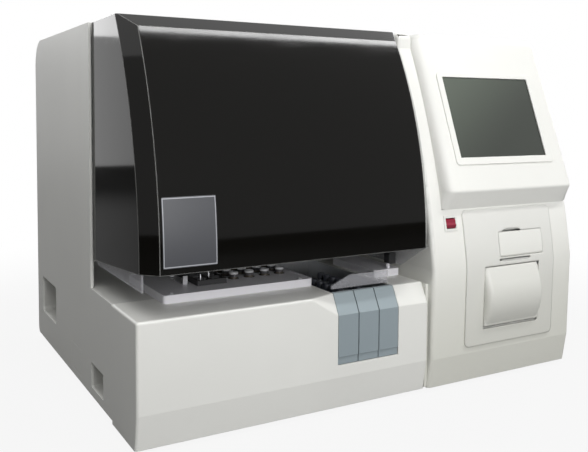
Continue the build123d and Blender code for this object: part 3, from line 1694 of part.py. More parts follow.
# Syringe pump: a drive block with three syringes standing on its front ledge
ledge_high = sheet + pump_ledge_height
with BuildPart() as syringe_pump:
    with BuildSketch(side_plane(pump_left)):
        with BuildLine():
            Polyline(
                (pump_front, sheet),
                (pump_front, ledge_high),
                (pump_front + pump_ledge_depth, ledge_high),
                (pump_front + pump_ledge_depth, sheet + pump_height),
                (pump_front + pump_depth, sheet + pump_height),
                (pump_front + pump_depth, sheet),
                close=True,
            )
        make_face()
    extrude(amount=pump_width)
    with BuildSketch(level_plane(ledge_high)):
        with Locations((pump_left + pump_width / 2, pump_front + pump_ledge_depth / 2)):
            with GridLocations(syringe_pitch, 0, syringes, 1):
                Circle(plunger_d / 2)
    extrude(amount=plunger_length)
    with BuildSketch(level_plane(ledge_high + plunger_length)):
        with Locations((pump_left + pump_width / 2, pump_front + pump_ledge_depth / 2)):
            with GridLocations(syringe_pitch, 0, syringes, 1):
                Circle(syringe_d / 2)
    extrude(amount=syringe_length)
save(syringe_pump, "syringe_pump")
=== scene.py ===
import json
from math import cos, pi, radians, sin, tan

import bmesh
import bpy
import numpy as np
from mathutils import Matrix, Vector


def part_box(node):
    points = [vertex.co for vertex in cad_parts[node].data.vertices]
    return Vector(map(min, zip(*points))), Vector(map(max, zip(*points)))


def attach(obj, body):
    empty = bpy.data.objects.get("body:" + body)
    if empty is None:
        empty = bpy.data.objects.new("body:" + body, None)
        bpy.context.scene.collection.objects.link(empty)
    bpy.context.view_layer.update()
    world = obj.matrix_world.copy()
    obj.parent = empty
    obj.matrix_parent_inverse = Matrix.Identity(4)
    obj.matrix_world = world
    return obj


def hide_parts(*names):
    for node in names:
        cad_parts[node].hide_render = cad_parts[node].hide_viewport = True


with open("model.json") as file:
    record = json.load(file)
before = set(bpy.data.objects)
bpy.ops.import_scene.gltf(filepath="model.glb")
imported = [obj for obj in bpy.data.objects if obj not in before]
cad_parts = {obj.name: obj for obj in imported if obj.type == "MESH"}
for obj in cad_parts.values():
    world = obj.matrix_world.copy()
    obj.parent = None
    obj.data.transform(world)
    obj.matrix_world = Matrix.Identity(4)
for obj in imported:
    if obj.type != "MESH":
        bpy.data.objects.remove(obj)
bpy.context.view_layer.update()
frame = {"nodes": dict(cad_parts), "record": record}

bl_info = {
    "name": "Coagulation Analyzer Dressing",
    "version": (1, 0, 0),
    "blender": (4, 5, 0),
    "location": "View3D > Sidebar > Analyzer",
    "description": "Finishes and fittings for the packed bench-top coagulation analyzer",
    "category": "Object",
}

# Places: millimetres from the left side, behind the fascia and above the housing's lower edge
MILLIMETRE = 0.001
ORIGIN = np.array([500.0, 367.0, -8.0])


def placed(points):
    """The part's own millimetres turned into metres of the shared frame."""
    return (np.asarray(points, float) - ORIGIN) * MILLIMETRE


def measured(points):
    """Metres of the shared frame turned back into the part's own millimetres."""
    return np.asarray(points, float) / MILLIMETRE + ORIGIN


# ---------------------------------------------------------------- materials

WHITE = (1.0, 1.0, 1.0)

# The tower's crease: how far shading spreads it to each side, and how deep, in metres
CREASE_REACH = 0.045
CREASE_DEPTH = 0.0018

# Painted shade low on the covers: heights in metres between which the darker tone fades out, and
# that tone's tint
LOW_SHADE_HEIGHTS = (0.06, 0.40)
LOW_SHADE_TINT = (0.76, 0.76, 0.72)


class Value:
    """One output in a material; arithmetic on it adds Math nodes."""

    def __init__(self, recipe, socket):
        self.recipe = recipe
        self.socket = socket

    def math(self, operation, *values):
        """One Math node on values and numbers."""
        sockets = dict(enumerate(values))
        return self.recipe.node("ShaderNodeMath", {"operation": operation}, sockets)["Value"]

    def __add__(self, other):
        return self.math("ADD", self, other)

    __radd__ = __add__

    def __sub__(self, other):
        return self.math("SUBTRACT", self, other)

    def __rsub__(self, other):
        return self.math("SUBTRACT", other, self)

    def __mul__(self, other):
        return self.math("MULTIPLY", self, other)

    __rmul__ = __mul__

    def __truediv__(self, other):
        return self.math("DIVIDE", self, other)

    def __pow__(self, other):
        return self.math("POWER", self, other)

    def wave(self):
        """Sine of the value."""
        return self.math("SINE", self)

    def size(self):
        """Absolute value."""
        return self.math("ABSOLUTE", self)

    def least(self, floor):
        """The value, but never below floor."""
        return self.math("MAXIMUM", self, floor)

    def most(self, ceiling):
        """The value, but never above ceiling."""
        return self.math("MINIMUM", self, ceiling)

    def within(self, low, high):
        """0 at low, 1 at high, smooth between and level outside."""
        made = self.recipe.node(
            "ShaderNodeMapRange",
            {"interpolation_type": "SMOOTHSTEP"},
            {"Value": self, "From Min": low, "From Max": high, "To Min": 0.0, "To Max": 1.0},
        )
        return made["Result"]


def opaque(colour):
    """A colour as its socket takes it: a Value as it is, three parts with an alpha of 1."""
    return colour if isinstance(colour, Value) else (*colour[:3], 1.0)


class Recipe:
    """The nodes of one material or world; every node comes from the node method."""

    def __init__(self, name, blocks=None):
        blocks = bpy.data.materials if blocks is None else blocks
        self.block = blocks.new(name)
        self.block.use_nodes = True
        self.tree = self.block.node_tree
        self.tree.nodes.clear()
        self.place = self.node("ShaderNodeTexCoord")["Object"]

    def node(self, kind, settings=None, sockets=None):
        """One node: settings first, then its sockets' values or links; returns its outputs."""
        made = self.tree.nodes.new(kind)
        for key, setting in (settings or {}).items():
            setattr(made, key, setting)
        for key, value in (sockets or {}).items():
            if isinstance(value, Value):
                self.tree.links.new(value.socket, made.inputs[key])
            else:
                made.inputs[key].default_value = value
        outputs = {index: Value(self, socket) for index, socket in enumerate(made.outputs)}
        outputs.update({socket.name: Value(self, socket) for socket in reversed(made.outputs)})
        return outputs

    def stretched(self, stretch, turn=(0, 0, 0)):
        """Object coordinates, turned and stretched."""
        sockets = {"Vector": self.place, "Rotation": turn, "Scale": stretch}
        return self.node("ShaderNodeMapping", None, sockets)["Vector"]

    def noise(self, scale, detail=2.0, roughness=0.5, vector=None):
        """Soft noise round 0.5."""
        sockets = {"Vector": vector or self.place, "Scale": scale}
        sockets.update({"Detail": detail, "Roughness": roughness})
        return self.node("ShaderNodeTexNoise", None, sockets)["Fac"]

    def cells(self, scale, randomness=1.0):
        """Distance to the nearest of many scattered points."""
        sockets = {"Vector": self.place, "Scale": scale, "Randomness": randomness}
        return self.node("ShaderNodeTexVoronoi", None, sockets)["Distance"]

    def axes(self, vector=None):
        """The three parts of a vector, Object coordinates by default."""
        made = self.node("ShaderNodeSeparateXYZ", None, {"Vector": vector or self.place})
        return made["X"], made["Y"], made["Z"]

    def mixed(self, mask, first, second):
        """Colour first where the mask is 0 and second where it is 1."""
        sockets = {0: mask, 6: opaque(first), 7: opaque(second)}
        return self.node("ShaderNodeMix", {"data_type": "RGBA"}, sockets)[2]

    def true_normal(self):
        """Normals as the mesh has them."""
        return self.node("ShaderNodeNewGeometry")["Normal"]

    def soft_edges(self, radius):
        """Normals rounded over radius at edges, as a moulded or broken edge shows them."""
        return self.node("ShaderNodeBevel", {"samples": 6}, {"Radius": radius})["Normal"]

    def edge_mask(self, rounded, low=0.01, high=0.22):
        """1 on edges and 0 on flats, from the angle between rounded and true normals."""
        sockets = {0: rounded, 1: self.true_normal()}
        made = self.node("ShaderNodeVectorMath", {"operation": "DOT_PRODUCT"}, sockets)
        return (1.0 - made["Value"]).within(low, high)

    def corners(self, distance):
        """1 in open places and less in corners."""
        made = self.node("ShaderNodeAmbientOcclusion", {"samples": 4}, {"Distance": distance})
        return made["AO"]

    def bumped(self, height, depth, normal=None):
        """Normals tilted by a height that stands depth metres high where it is 1."""
        sockets = {"Height": height, "Distance": depth, "Strength": 1.0}
        if normal is not None:
            sockets["Normal"] = normal
        return self.node("ShaderNodeBump", None, sockets)["Normal"]

    def shaded(self, colour, roughness, normal=None, **others):
        """Finish the material with one principled shader; others are its sockets by their names."""
        sockets = {"Base Color": opaque(colour), "Roughness": roughness}
        if normal is not None:
            sockets["Normal"] = normal
        sockets.update({key.replace("_", " "): value for key, value in others.items()})
        shader = self.node("ShaderNodeBsdfPrincipled", None, sockets)["BSDF"]
        self.node("ShaderNodeOutputMaterial", None, {"Surface": shader})
        return self.block


def tint(colour, share):
    """A colour made lighter or darker by a share."""
    return tuple(min(1.0, max(0.0, part * share)) for part in colour[:3])


def moulded(
    name,
    colour,
    roughness=0.42,
    edge=0.0012,
    grain=1400.0,
    depth=0.00004,
    wear_and_edge_highlight=0.05,
    waist=None,
    corner_shade=0.28,
    lower_shade=0.0,
    lit_top=None,
):
    """Moulded plastic: spark-eroded grain, slow tone drift, edges lighter by wear and painted
    highlight, handling marks. waist is the height of a crease that shading spreads to each side,
    by a hollow whose depth is the square of how near the crease is. corner_shade is how far
    corners are painted darker as shade, lower_shade how far the lower part is painted darker as
    shade, and lit_top the colour painted on what faces up as light falling on it."""
    recipe = Recipe(name)
    rounded = recipe.soft_edges(edge)
    drift = recipe.noise(3.2, 3.0).within(0.3, 0.7)
    tone = recipe.mixed(drift, tint(colour, 0.975), tint(colour, 1.015))
    # Edges painted lighter: partly wear, partly a painted highlight where edges catch the light
    tone = recipe.mixed(recipe.edge_mask(rounded) * wear_and_edge_highlight * 4.0, tone, tint(colour, 1.12))
    # Painted shade: the lower part is painted darker, as less light falls there
    if lower_shade:
        painted_low_shade = (1.0 - recipe.axes()[2].within(*LOW_SHADE_HEIGHTS)) * lower_shade
        shaded_low_tone = tuple(part * share for part, share in zip(colour, LOW_SHADE_TINT))
        tone = recipe.mixed(painted_low_shade, tone, shaded_low_tone)
    # Painted light: what faces up is painted lighter, as if lit from above
    if lit_top is not None:
        painted_top_light = recipe.axes(recipe.true_normal())[2].within(0.3, 0.75)
        tone = recipe.mixed(painted_top_light, tone, lit_top)
    # Painted shade: corners, where less light reaches, are painted darker
    shade_in_corners = (1.0 - recipe.corners(0.012)).within(0.25, 0.95) * corner_shade
    tone = recipe.mixed(shade_in_corners, tone, tint(colour, 0.62))
    fine = recipe.noise(grain, 2.0, 0.6)
    smudge = recipe.noise(11.0, 4.0, 0.6).within(0.45, 0.75)
    normal = recipe.bumped(fine, depth, rounded)
    if waist is not None:
        nearness = (1.0 - (recipe.axes()[2] - waist).size() / CREASE_REACH).least(0.0)
        normal = recipe.bumped(nearness * nearness * -1.0, CREASE_DEPTH, normal)
    return recipe.shaded(tone, smudge * -0.06 + (fine * 0.08 + (roughness - 0.02)), normal)


def powder_coated(name, colour, roughness=0.46):
    """Powder coat on sheet: orange peel at two scales, soft edges, a little painted shade in
    corners.
    """
    recipe = Recipe(name)
    rounded = recipe.soft_edges(0.0015)
    peel = recipe.noise(420.0, 2.0, 0.45)
    pits = recipe.cells(900.0)
    drift = recipe.noise(2.4, 3.0).within(0.3, 0.7)
    tone = recipe.mixed(drift, tint(colour, 0.97), tint(colour, 1.015))
    # Painted shade: corners, where less light reaches, are painted darker
    corner_shade = (1.0 - recipe.corners(0.015)).within(0.2, 0.95) * 0.3
    tone = recipe.mixed(corner_shade, tone, tint(colour, 0.6))
    normal = recipe.bumped(peel * 0.8 + pits * 0.25, 0.00009, rounded)
    return recipe.shaded(tone, peel * 0.1 + (roughness - 0.05), normal)


def smoked(name, colour):
    """Polished smoked plastic: deep tint, clear gloss, a painted highlight along its bevels, faint
    dust.
    """
    recipe = Recipe(name)
    rounded = recipe.soft_edges(0.0022)
    # Painted highlight: the bevels are painted lighter, as if they catch the light
    bevel_highlight = recipe.edge_mask(rounded, 0.004, 0.05)
    streaks = recipe.noise(7.0, 4.0, 0.6, recipe.stretched((1.0, 1.0, 5.0), (0.0, 0.5, 0.0)))
    dust = recipe.cells(260.0).within(0.10, 0.03) * recipe.noise(5.0).within(0.5, 0.75)
    tone = recipe.mixed(dust * 0.18, colour, (0.16, 0.15, 0.14))
    tone = recipe.mixed(bevel_highlight * 0.8, tone, (0.34, 0.34, 0.33))
    rough = streaks.within(0.45, 0.8) * 0.04 + (dust * 0.15 + 0.06)
    return recipe.shaded(tone, rough, rounded, Alpha=0.985, Specular_IOR_Level=0.15)


def clear(name, colour, alpha, roughness=0.08):
    """Clear acrylic or glass: thin tint, faint dust, edges painted lighter and more opaque as a
    highlight.
    """
    recipe = Recipe(name)
    rounded = recipe.soft_edges(0.0006)
    haze = recipe.noise(16.0, 3.0).within(0.4, 0.8)
    # Painted highlight: edges painted lighter and more opaque, as if they catch the light
    edges = recipe.edge_mask(rounded)
    tone = recipe.mixed(edges, colour, (0.92, 0.95, 0.96))
    cover = edges * (1.0 - alpha) * 0.6 + (haze * 0.05 + alpha)
    return recipe.shaded(tone, haze * 0.08 + roughness, rounded, Alpha=cover)


def metal(name, colour, roughness=0.32, brush=(1.0, 1.0, 60.0), scale=90.0):
    """Machined or brushed metal: fine lines one way, soft edges, slow blotches in its sheen."""
    recipe = Recipe(name)
    rounded = recipe.soft_edges(0.0006)
    lines = recipe.noise(scale, 3.0, 0.65, recipe.stretched(brush))
    blotch = recipe.noise(9.0, 3.0).within(0.35, 0.7)
    tone = recipe.mixed(lines, tint(colour, 0.86), tint(colour, 1.08))
    tone = recipe.mixed(recipe.edge_mask(rounded) * 0.5, tone, tint(colour, 1.25))
    rough = lines * 0.14 + (blotch * 0.07 + (roughness - 0.1))
    return recipe.shaded(tone, rough, recipe.bumped(lines, 0.00003, rounded), Metallic=1.0)


def rubber(name, colour):
    """Matt rubber: dry grain under a patchy grey bloom."""
    recipe = Recipe(name)
    rounded = recipe.soft_edges(0.0006)
    grain = recipe.noise(1100.0, 3.0, 0.6)
    bloom = recipe.noise(40.0, 3.0).within(0.4, 0.8)
    tone = recipe.mixed(bloom * 0.35, colour, (0.12, 0.12, 0.12))
    return recipe.shaded(tone, grain * 0.1 + 0.75, recipe.bumped(grain, 0.00008, rounded))


def display(name, colour):
    """Dark liquid-crystal panel under satin touch film: painted light brightening it towards the
    upper left, pixel-fine grain and a black border, partly painted shadow of the surround."""
    recipe = Recipe(name)
    low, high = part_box("touch_screen")
    x, _, z = recipe.axes()
    across = (x - low.x) / (high.x - low.x)
    up = (z - low.z) / (high.z - low.z)
    # Painted light: the panel is painted lighter towards the upper left
    painted_light = ((1.0 - across) * 0.55 + up * 0.55).within(0.30, 1.15)
    film = recipe.noise(1600.0, 1.0)
    tone = recipe.mixed(painted_light, tint(colour, 0.85), tint(colour, 2.6))
    # Black border: partly the panel's dark rim, partly a painted shadow of the surround
    beside = (across - 0.5).size().within(0.470, 0.476)
    above = (up - 0.5).size().within(0.466, 0.474)
    tone = recipe.mixed((beside + above).most(1.0), tone, (0.012, 0.012, 0.012))
    normal = recipe.bumped(film, 0.00001)
    return recipe.shaded(tone, film * 0.10 + 0.20, normal, Specular_IOR_Level=0.4)


def wound_paper(name, colour, middle, radius):
    """Paper roll round a middle: fine turns round its core on the ends, soft fibres outside.
    The turns are a sine of the distance from the roll's axis, a turn to every 0.3 mm."""
    recipe = Recipe(name)
    _, y, z = recipe.axes()
    deep, rise = y - middle[1], z - middle[2]
    reach = (deep * deep + rise * rise) ** 0.5
    turns = (reach * 21000.0).wave() * 0.5 + 0.5
    fibre = recipe.noise(700.0, 4.0, 0.7)
    outside = reach.within(radius * 0.96, radius * 0.99)
    tone = recipe.mixed(turns * (1.0 - outside) * 0.35, colour, tint(colour, 0.78))
    tone = recipe.mixed(fibre * 0.15, tone, tint(colour, 0.9))
    return recipe.shaded(tone, 0.85, recipe.bumped(fibre, 0.00003))


def board(name, colour):
    """Circuit board: lacquered green with copper lanes and dark component blocks."""
    recipe = Recipe(name)
    upright = recipe.stretched((1.0, 1.0, 1.0), (radians(90), 0.0, 0.0))
    sockets = {"Vector": upright, "Scale": 60.0, "Mortar Size": 0.03}
    lanes = recipe.node("ShaderNodeTexBrick", None, sockets)["Fac"]
    blocks = recipe.cells(55.0, 0.4).within(0.30, 0.26)
    tone = recipe.mixed(lanes, colour, (0.12, 0.30, 0.10))
    tone = recipe.mixed(blocks * 0.8, tone, (0.03, 0.03, 0.035))
    return recipe.shaded(tone, 0.35, recipe.bumped(blocks, 0.0006))


def liquid(name, colour):
    """Still liquid behind a clear wall: even colour with faint clouds and a wet surface."""
    recipe = Recipe(name)
    clouds = recipe.noise(160.0, 3.0)
    tone = recipe.mixed(clouds, tint(colour, 0.8), tint(colour, 1.2))
    return recipe.shaded(tone, clouds * 0.05 + 0.08)


def framed_plate(name, colour, line):
    """Printed plate: an even satin field with a thin line just inside its outline.
    The line follows the plate's own attribute, from 0 in the middle to 1 at the rim."""
    recipe = Recipe(name)
    reach = recipe.node("ShaderNodeAttribute", {"attribute_name": "reach"})["Fac"]
    band = reach.within(0.944, 0.950) * (1.0 - reach.within(0.972, 0.978))
    fine = recipe.noise(500.0, 2.0)
    tone = recipe.mixed(recipe.noise(24.0, 3.0) * 0.4, colour, tint(colour, 1.25))
    tone = recipe.mixed(band, tone, line)
    return recipe.shaded(tone, fine * 0.08 + 0.26, recipe.bumped(fine, 0.000008))


def finishes(colours):
    """Every finish of the analyzer by its name."""
    white, rack, red = tuple(colours.housing), tuple(colours.rack), tuple(colours.switch)
    waist = placed((0, 0, 240))[2]
    roll_middle, roll_radius = placed((824.5, 24, 166)), 0.025
    return {
        "housing_moulding": moulded("housing moulding", white),
        "painted_panel": powder_coated("painted panel", tint(white, 0.985)),
        "deck_paint": powder_coated("deck paint", tint(white, 0.93), 0.38),
        "dark_plastic": moulded("dark plastic", (0.024, 0.024, 0.026), 0.5, 0.0008),
        "steel_sheet": metal("sheet steel", (0.56, 0.57, 0.58), 0.36, (1.0, 30.0, 1.0)),
        "smoked_pane": smoked("smoked pane", tuple(colours.hood)),
        "clear_plastic": clear("clear plastic", (0.72, 0.74, 0.76), 0.34),
        # Painted light: the racks' up-facing faces are painted lighter
        "rack_grey": moulded(
            "rack grey", rack, 0.36, 0.0014, 900.0, 0.00003, 0.04, lit_top=(0.46, 0.54, 0.57)
        ),
        "tube_clear": clear("tube wall", (0.78, 0.82, 0.85), 0.30, 0.04),
        "skirt acrylic": clear("skirt acrylic", (0.66, 0.66, 0.70), 0.32, 0.10),
        "tray_plastic": moulded("tray plastic", (0.87, 0.86, 0.90), 0.38, 0.0008, corner_shade=0.1),
        "vial_plastic": moulded("vial plastic", (0.10, 0.085, 0.07), 0.2, 0.0008, 600.0, 1e-5),
        "cap_plastic": moulded("cap plastic", (0.78, 0.78, 0.78), 0.3, 0.0006),
        "machined_aluminium": metal(
            "machined aluminium", (0.74, 0.75, 0.77), 0.30, (40.0, 1.0, 1.0)
        ),
        "hinge_steel": metal("dark plated steel", (0.22, 0.22, 0.23), 0.34, (1.0, 1.0, 20.0)),
        "screen_glass": display("display", tuple(colours.screen)),
        "roll_paper": wound_paper("wound paper", (0.88, 0.88, 0.86), roll_middle, roll_radius),
        "roller_rubber": rubber("roller rubber", (0.022, 0.022, 0.022)),
        "switch_red": moulded("switch red", red, 0.24, 0.0008, 700.0, 1e-5),
        "board_green": board("circuit board", (0.02, 0.12, 0.05)),
        "grip moulding": moulded("grip moulding", tint(white, 0.80), 0.46),
        # Painted light and shade: lit and shaded copies of the housing's white, the monitor and
        # tower lighter, the fascia and panel a little darker, with the fascia's up-facing faces and
        # the panel's edges painted lighter and the lower tower and panel painted darker
        "fascia moulding": moulded("fascia moulding", tint(white, 0.97), lit_top=tint(white, 1.17)),
        "monitor moulding": moulded("monitor moulding", tint(white, 1.09), corner_shade=0.1),
        "tower moulding": moulded(
            "tower moulding", tint(white, 1.09), waist=waist, corner_shade=0.12, lower_shade=0.85
        ),
        "panel moulding": moulded(
            "panel moulding", tint(white, 0.99), edge=0.005, wear_and_edge_highlight=0.25, waist=waist, corner_shade=0.12,
            lower_shade=0.75,
        ),
        "blank plate": framed_plate("blank plate", (0.050, 0.052, 0.060), (0.42, 0.43, 0.46)),
        "rating plate": framed_plate("rating plate", (0.50, 0.51, 0.52), (0.16, 0.16, 0.17)),
        "screw steel": metal("screw steel", (0.50, 0.50, 0.52), 0.28, (1.0, 1.0, 1.0), 700.0),
        "stopper grey": moulded("stopper grey", (0.055, 0.06, 0.08), 0.4, 0.0005, 900.0),
        "cap grey": moulded("cap grey", (0.075, 0.075, 0.08), 0.30, 0.0005, 900.0),
        # On the vial lids a painted highlight; on the tray's bracket and screws their own pale grey
        "lid grey": moulded("lid grey", (0.74, 0.74, 0.76), 0.30, 0.0005, 900.0),
        "plain paper": moulded("plain paper", (0.86, 0.86, 0.84), 0.7, 0.0002, 1200.0),
        "settled cells": liquid("settled cells", (0.14, 0.008, 0.010)),
        "plasma": liquid("plasma", (0.62, 0.44, 0.12)),
    }


# ------------------------------------------------------------------- meshes

ARC_STEPS = 8
PLATE_CORNER = 0.003
PLATE_THICKNESS = 0.0006


def surface(name, grids, smooth_angle=40.0):
    """Mesh of several grids of points, each rows by columns by 3: quads between neighbours.
    Points that meet are merged, which closes seams and poles, and faces are turned outwards."""
    points, faces, count = [], [], 0
    for grid in grids:
        grid = np.asarray(grid, float)
        copies = grid.reshape(-1, *grid.shape[-3:])
        number, rows, columns = copies.shape[:3]
        index = np.arange(number * rows * columns).reshape(number, rows, columns) + count
        quads = np.stack(
            (index[:, :-1, :-1], index[:, :-1, 1:], index[:, 1:, 1:], index[:, 1:, :-1]), axis=-1
        )
        points.append(copies.reshape(-1, 3))
        faces.append(quads.reshape(-1, 4))
        count += index.size
    mesh = bpy.data.meshes.new(name)
    mesh.from_pydata(np.concatenate(points).tolist(), [], np.concatenate(faces).tolist())
    shape = bmesh.new()
    shape.from_mesh(mesh)
    bmesh.ops.remove_doubles(shape, verts=shape.verts, dist=1e-6)
    bmesh.ops.recalc_face_normals(shape, faces=shape.faces)
    shape.to_mesh(mesh)
    shape.free()
    mesh.shade_smooth()
    mesh.set_sharp_from_angle(angle=radians(smooth_angle))
    piece = bpy.data.objects.new(name, mesh)
    bpy.context.scene.collection.objects.link(piece)
    return piece


def dress(piece, material, body, slot, *nodes):
    """Give a piece its finish and its body, and hide the nodes that it stands for. slot is not
    used.
    """
    piece.data.materials.append(material)
    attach(piece, body)
    if nodes:
        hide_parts(*nodes)


def mark_reach(piece):
    """Store how far each point of an upright plate lies from its middle to its rim: the larger
    of its shares across and up."""
    points = np.empty(len(piece.data.vertices) * 3)
    piece.data.vertices.foreach_get("co", points)
    points = points.reshape(-1, 3)[:, [0, 2]]
    low, high = points.min(0), points.max(0)
    shares = np.abs((points - (low + high) / 2.0) / ((high - low) / 2.0))
    reach = piece.data.attributes.new("reach", "FLOAT", "POINT")
    reach.data.foreach_set("value", shares.max(1))
    return piece


def turned(profile, centres, steps):
    """A profile of (radius, height) carried round an upright axis through each of the centres:
    surfaces of revolution."""
    profile = np.asarray(profile, float)
    angle = np.linspace(0.0, 2.0 * pi, steps + 1)
    radius, height = profile[:, :1], profile[:, 1:]
    one, two = radius * np.cos(angle), radius * np.sin(angle)
    grid = np.stack((one, two, np.broadcast_to(height, one.shape)), axis=-1)
    return grid[None] + np.asarray(centres, float).reshape(-1, 1, 1, 3)


def ribbed(profile, centres, radius, ribs, depth):
    """Surfaces of revolution with ribs: where the profile has the given radius, it is drawn in by
    half of depth times one plus a cosine, with one wave and three steps to a rib."""
    profile = np.asarray(profile, float)
    steps = 3 * ribs
    grid = turned(profile, centres, steps)
    wave = 1.0 - depth * (1.0 + np.cos(ribs * np.linspace(0.0, 2.0 * pi, steps + 1))) / 2.0
    drawn = np.where((profile[:, 0] == radius)[:, None], wave, 1.0)[None, ..., None]
    middle = np.asarray(centres, float)[:, None, None, :2]
    grid[..., :2] = (grid[..., :2] - middle) * drawn + middle
    return grid


def strip(path, width, thick):
    """A flat strip bent along a path of (deep, rise) points, shut at both ends: its section is a
    rectangle that stands square to the path, as wide as the strip and as high as its sheet."""
    path = np.asarray(path, float)
    ahead = np.gradient(path, axis=0)
    ahead /= np.linalg.norm(ahead, axis=1, keepdims=True)
    normal = np.stack((-ahead[:, 1], ahead[:, 0]), axis=-1)
    across = np.array([-0.5, 0.5, 0.5, -0.5, -0.5]) * width
    out = np.array([-0.5, -0.5, 0.5, 0.5, -0.5]) * thick
    section = path[:, None] + out[None, :, None] * normal[:, None]
    across = np.broadcast_to(across, section.shape[:2])[..., None]
    grid = np.concatenate((across, section), axis=-1)
    first, last = grid[:1].mean(1, keepdims=True), grid[-1:].mean(1, keepdims=True)
    return np.concatenate((first.repeat(5, 1), grid, last.repeat(5, 1)), axis=0)


def rounded_outline(width, height, corner, steps=7, runs=12):
    """Closed outline of a rectangle with round corners: four quarter circles joined by straight
    runs, each run divided evenly so that the outline can be bent."""
    quarter = np.linspace(0.0, pi / 2.0, steps)
    angle = (quarter[None] + np.arange(4)[:, None] * pi / 2.0).ravel()
    right = np.repeat([1.0, -1.0, -1.0, 1.0], steps) * (width / 2.0 - corner)
    top = np.repeat([1.0, 1.0, -1.0, -1.0], steps) * (height / 2.0 - corner)
    across, up = right + corner * np.cos(angle), top + corner * np.sin(angle)
    across, up = np.append(across, across[0]), np.append(up, up[0])
    whole = np.arange(4)[:, None] * steps
    in_arcs = whole + np.arange(steps - 1)
    in_runs = whole + steps - 1 + np.linspace(0.0, 1.0, runs + 1)[:-1]
    count = np.append(np.concatenate((in_arcs, in_runs), axis=1).ravel(), 4.0 * steps)
    spots = np.arange(len(across))
    return np.interp(count, spots, across), np.interp(count, spots, up)


def plate(width, height, lay, rings=9):
    """A thin plate: its outline shrunk to the middle in rings, its rim broken by a small bevel.
    lay(across, up, out) says where a point lies, so the plate can follow a curved face."""
    across, up = rounded_outline(width, height, PLATE_CORNER)
    bevel = PLATE_THICKNESS * 0.6
    shares = np.linspace(0.0, 1.0 - 2.0 * bevel / min(width, height), rings)
    shares = np.append(shares, (1.0, 1.0, 0.0))[:, None]
    out = np.append(np.full(rings, PLATE_THICKNESS), (PLATE_THICKNESS - bevel, 0.0, 0.0))
    return np.stack(lay(shares * across, shares * up, out[:, None] + 0.0 * across), axis=-1)


def screw_heads(centres, radius, turns, axis, steps=32):
    """Pan heads with a crossed recess: a flattened dome over polar steps, sunk where either of two
    crossing bars lies; each head is turned by its own angle and faces along axis Y or Z."""
    shares = np.array([0.0, 0.12, 0.24, 0.36, 0.48, 0.60, 0.72, 0.84, 0.94, 1.0, 1.0])
    reach = shares * radius
    angle = np.linspace(0.0, 2.0 * pi, steps + 1)
    across, up = reach[:, None] * np.cos(angle), reach[:, None] * np.sin(angle)
    dome = radius * 0.5 * np.sqrt(np.clip(1.0 - 0.75 * (reach / radius) ** 2, 0.0, 1.0))
    turn = np.asarray(turns, float)[:, None, None]
    one = across * np.cos(turn) + up * np.sin(turn)
    two = up * np.cos(turn) - across * np.sin(turn)
    bar = np.minimum(np.abs(one), np.abs(two)) < radius * 0.13
    sunk = bar & (np.hypot(one, two) < radius * 0.62)
    height = dome[:, None] - sunk * radius * 0.32
    height[:, -1] = 0.0
    across, up = np.broadcast_to(across, height.shape), np.broadcast_to(up, height.shape)
    order = {"Y": (across, height, up), "Z": (across, up, height)}[axis]
    return np.stack(order, axis=-1) + np.asarray(centres, float)[:, None, None, :]


def rounded_path(corners, radii):
    """A path through corners in one plane, each inner corner rounded by an arc of its radius, which
    starts the radius times the tangent of half the turn before the corner."""
    corners = np.asarray(corners, float)
    ahead = np.diff(corners, axis=0)
    ahead /= np.linalg.norm(ahead, axis=1, keepdims=True)
    points = [corners[0]]
    for corner, radius, come, go in zip(corners[1:-1], radii, ahead[:-1], ahead[1:]):
        turn = np.arctan2(come[0] * go[1] - come[1] * go[0], come @ go)
        normal = np.array([-come[1], come[0]]) * np.sign(turn)
        start = corner - come * radius * np.tan(abs(turn) / 2.0)
        angle = np.linspace(0.0, abs(turn), ARC_STEPS)[:, None]
        points.extend(start + radius * (np.sin(angle) * come + (1.0 - np.cos(angle)) * normal))
    points.append(corners[-1])
    return np.array(points)


# --------------------------------------------------------------- properties

class ANALYZER_PG_sizes(bpy.types.PropertyGroup):
    """Sizes a user would change."""

    plate_width: bpy.props.FloatProperty(
        name="Hood plate width",
        description="Width of the blank plate on the hood",
        default=0.095,
        unit="LENGTH",
    )
    plate_height: bpy.props.FloatProperty(
        name="Hood plate height",
        description="Height of the blank plate on the hood",
        default=0.114,
        unit="LENGTH",
    )
    monitor_radius: bpy.props.FloatProperty(
        name="Monitor edge radius",
        description="Rounding of the monitor moulding",
        default=0.024,
        unit="LENGTH",
    )
    screw_radius: bpy.props.FloatProperty(
        name="Screw head radius",
        description="Radius of the panel screws' heads",
        default=0.0034,
        unit="LENGTH",
    )


class ANALYZER_PG_colours(bpy.types.PropertyGroup):
    """Colours a user would change."""

    housing: bpy.props.FloatVectorProperty(
        name="Housing",
        description="Moulded and painted covers",
        subtype="COLOR",
        default=(0.80, 0.80, 0.765),
    )
    hood: bpy.props.FloatVectorProperty(
        name="Hood",
        description="Smoked hood",
        subtype="COLOR",
        default=(0.0035, 0.0032, 0.0026),
    )
    rack: bpy.props.FloatVectorProperty(
        name="Racks",
        description="Sample racks",
        subtype="COLOR",
        default=(0.27, 0.32, 0.345),
    )
    screen: bpy.props.FloatVectorProperty(
        name="Display",
        description="Unlit display",
        subtype="COLOR",
        default=(0.040, 0.047, 0.038),
    )
    switch: bpy.props.FloatVectorProperty(
        name="Switch",
        description="Power rocker",
        subtype="COLOR",
        default=(0.27, 0.009, 0.034),
    )


# ---------------------------------------------------------------- operators

FINISH = {}

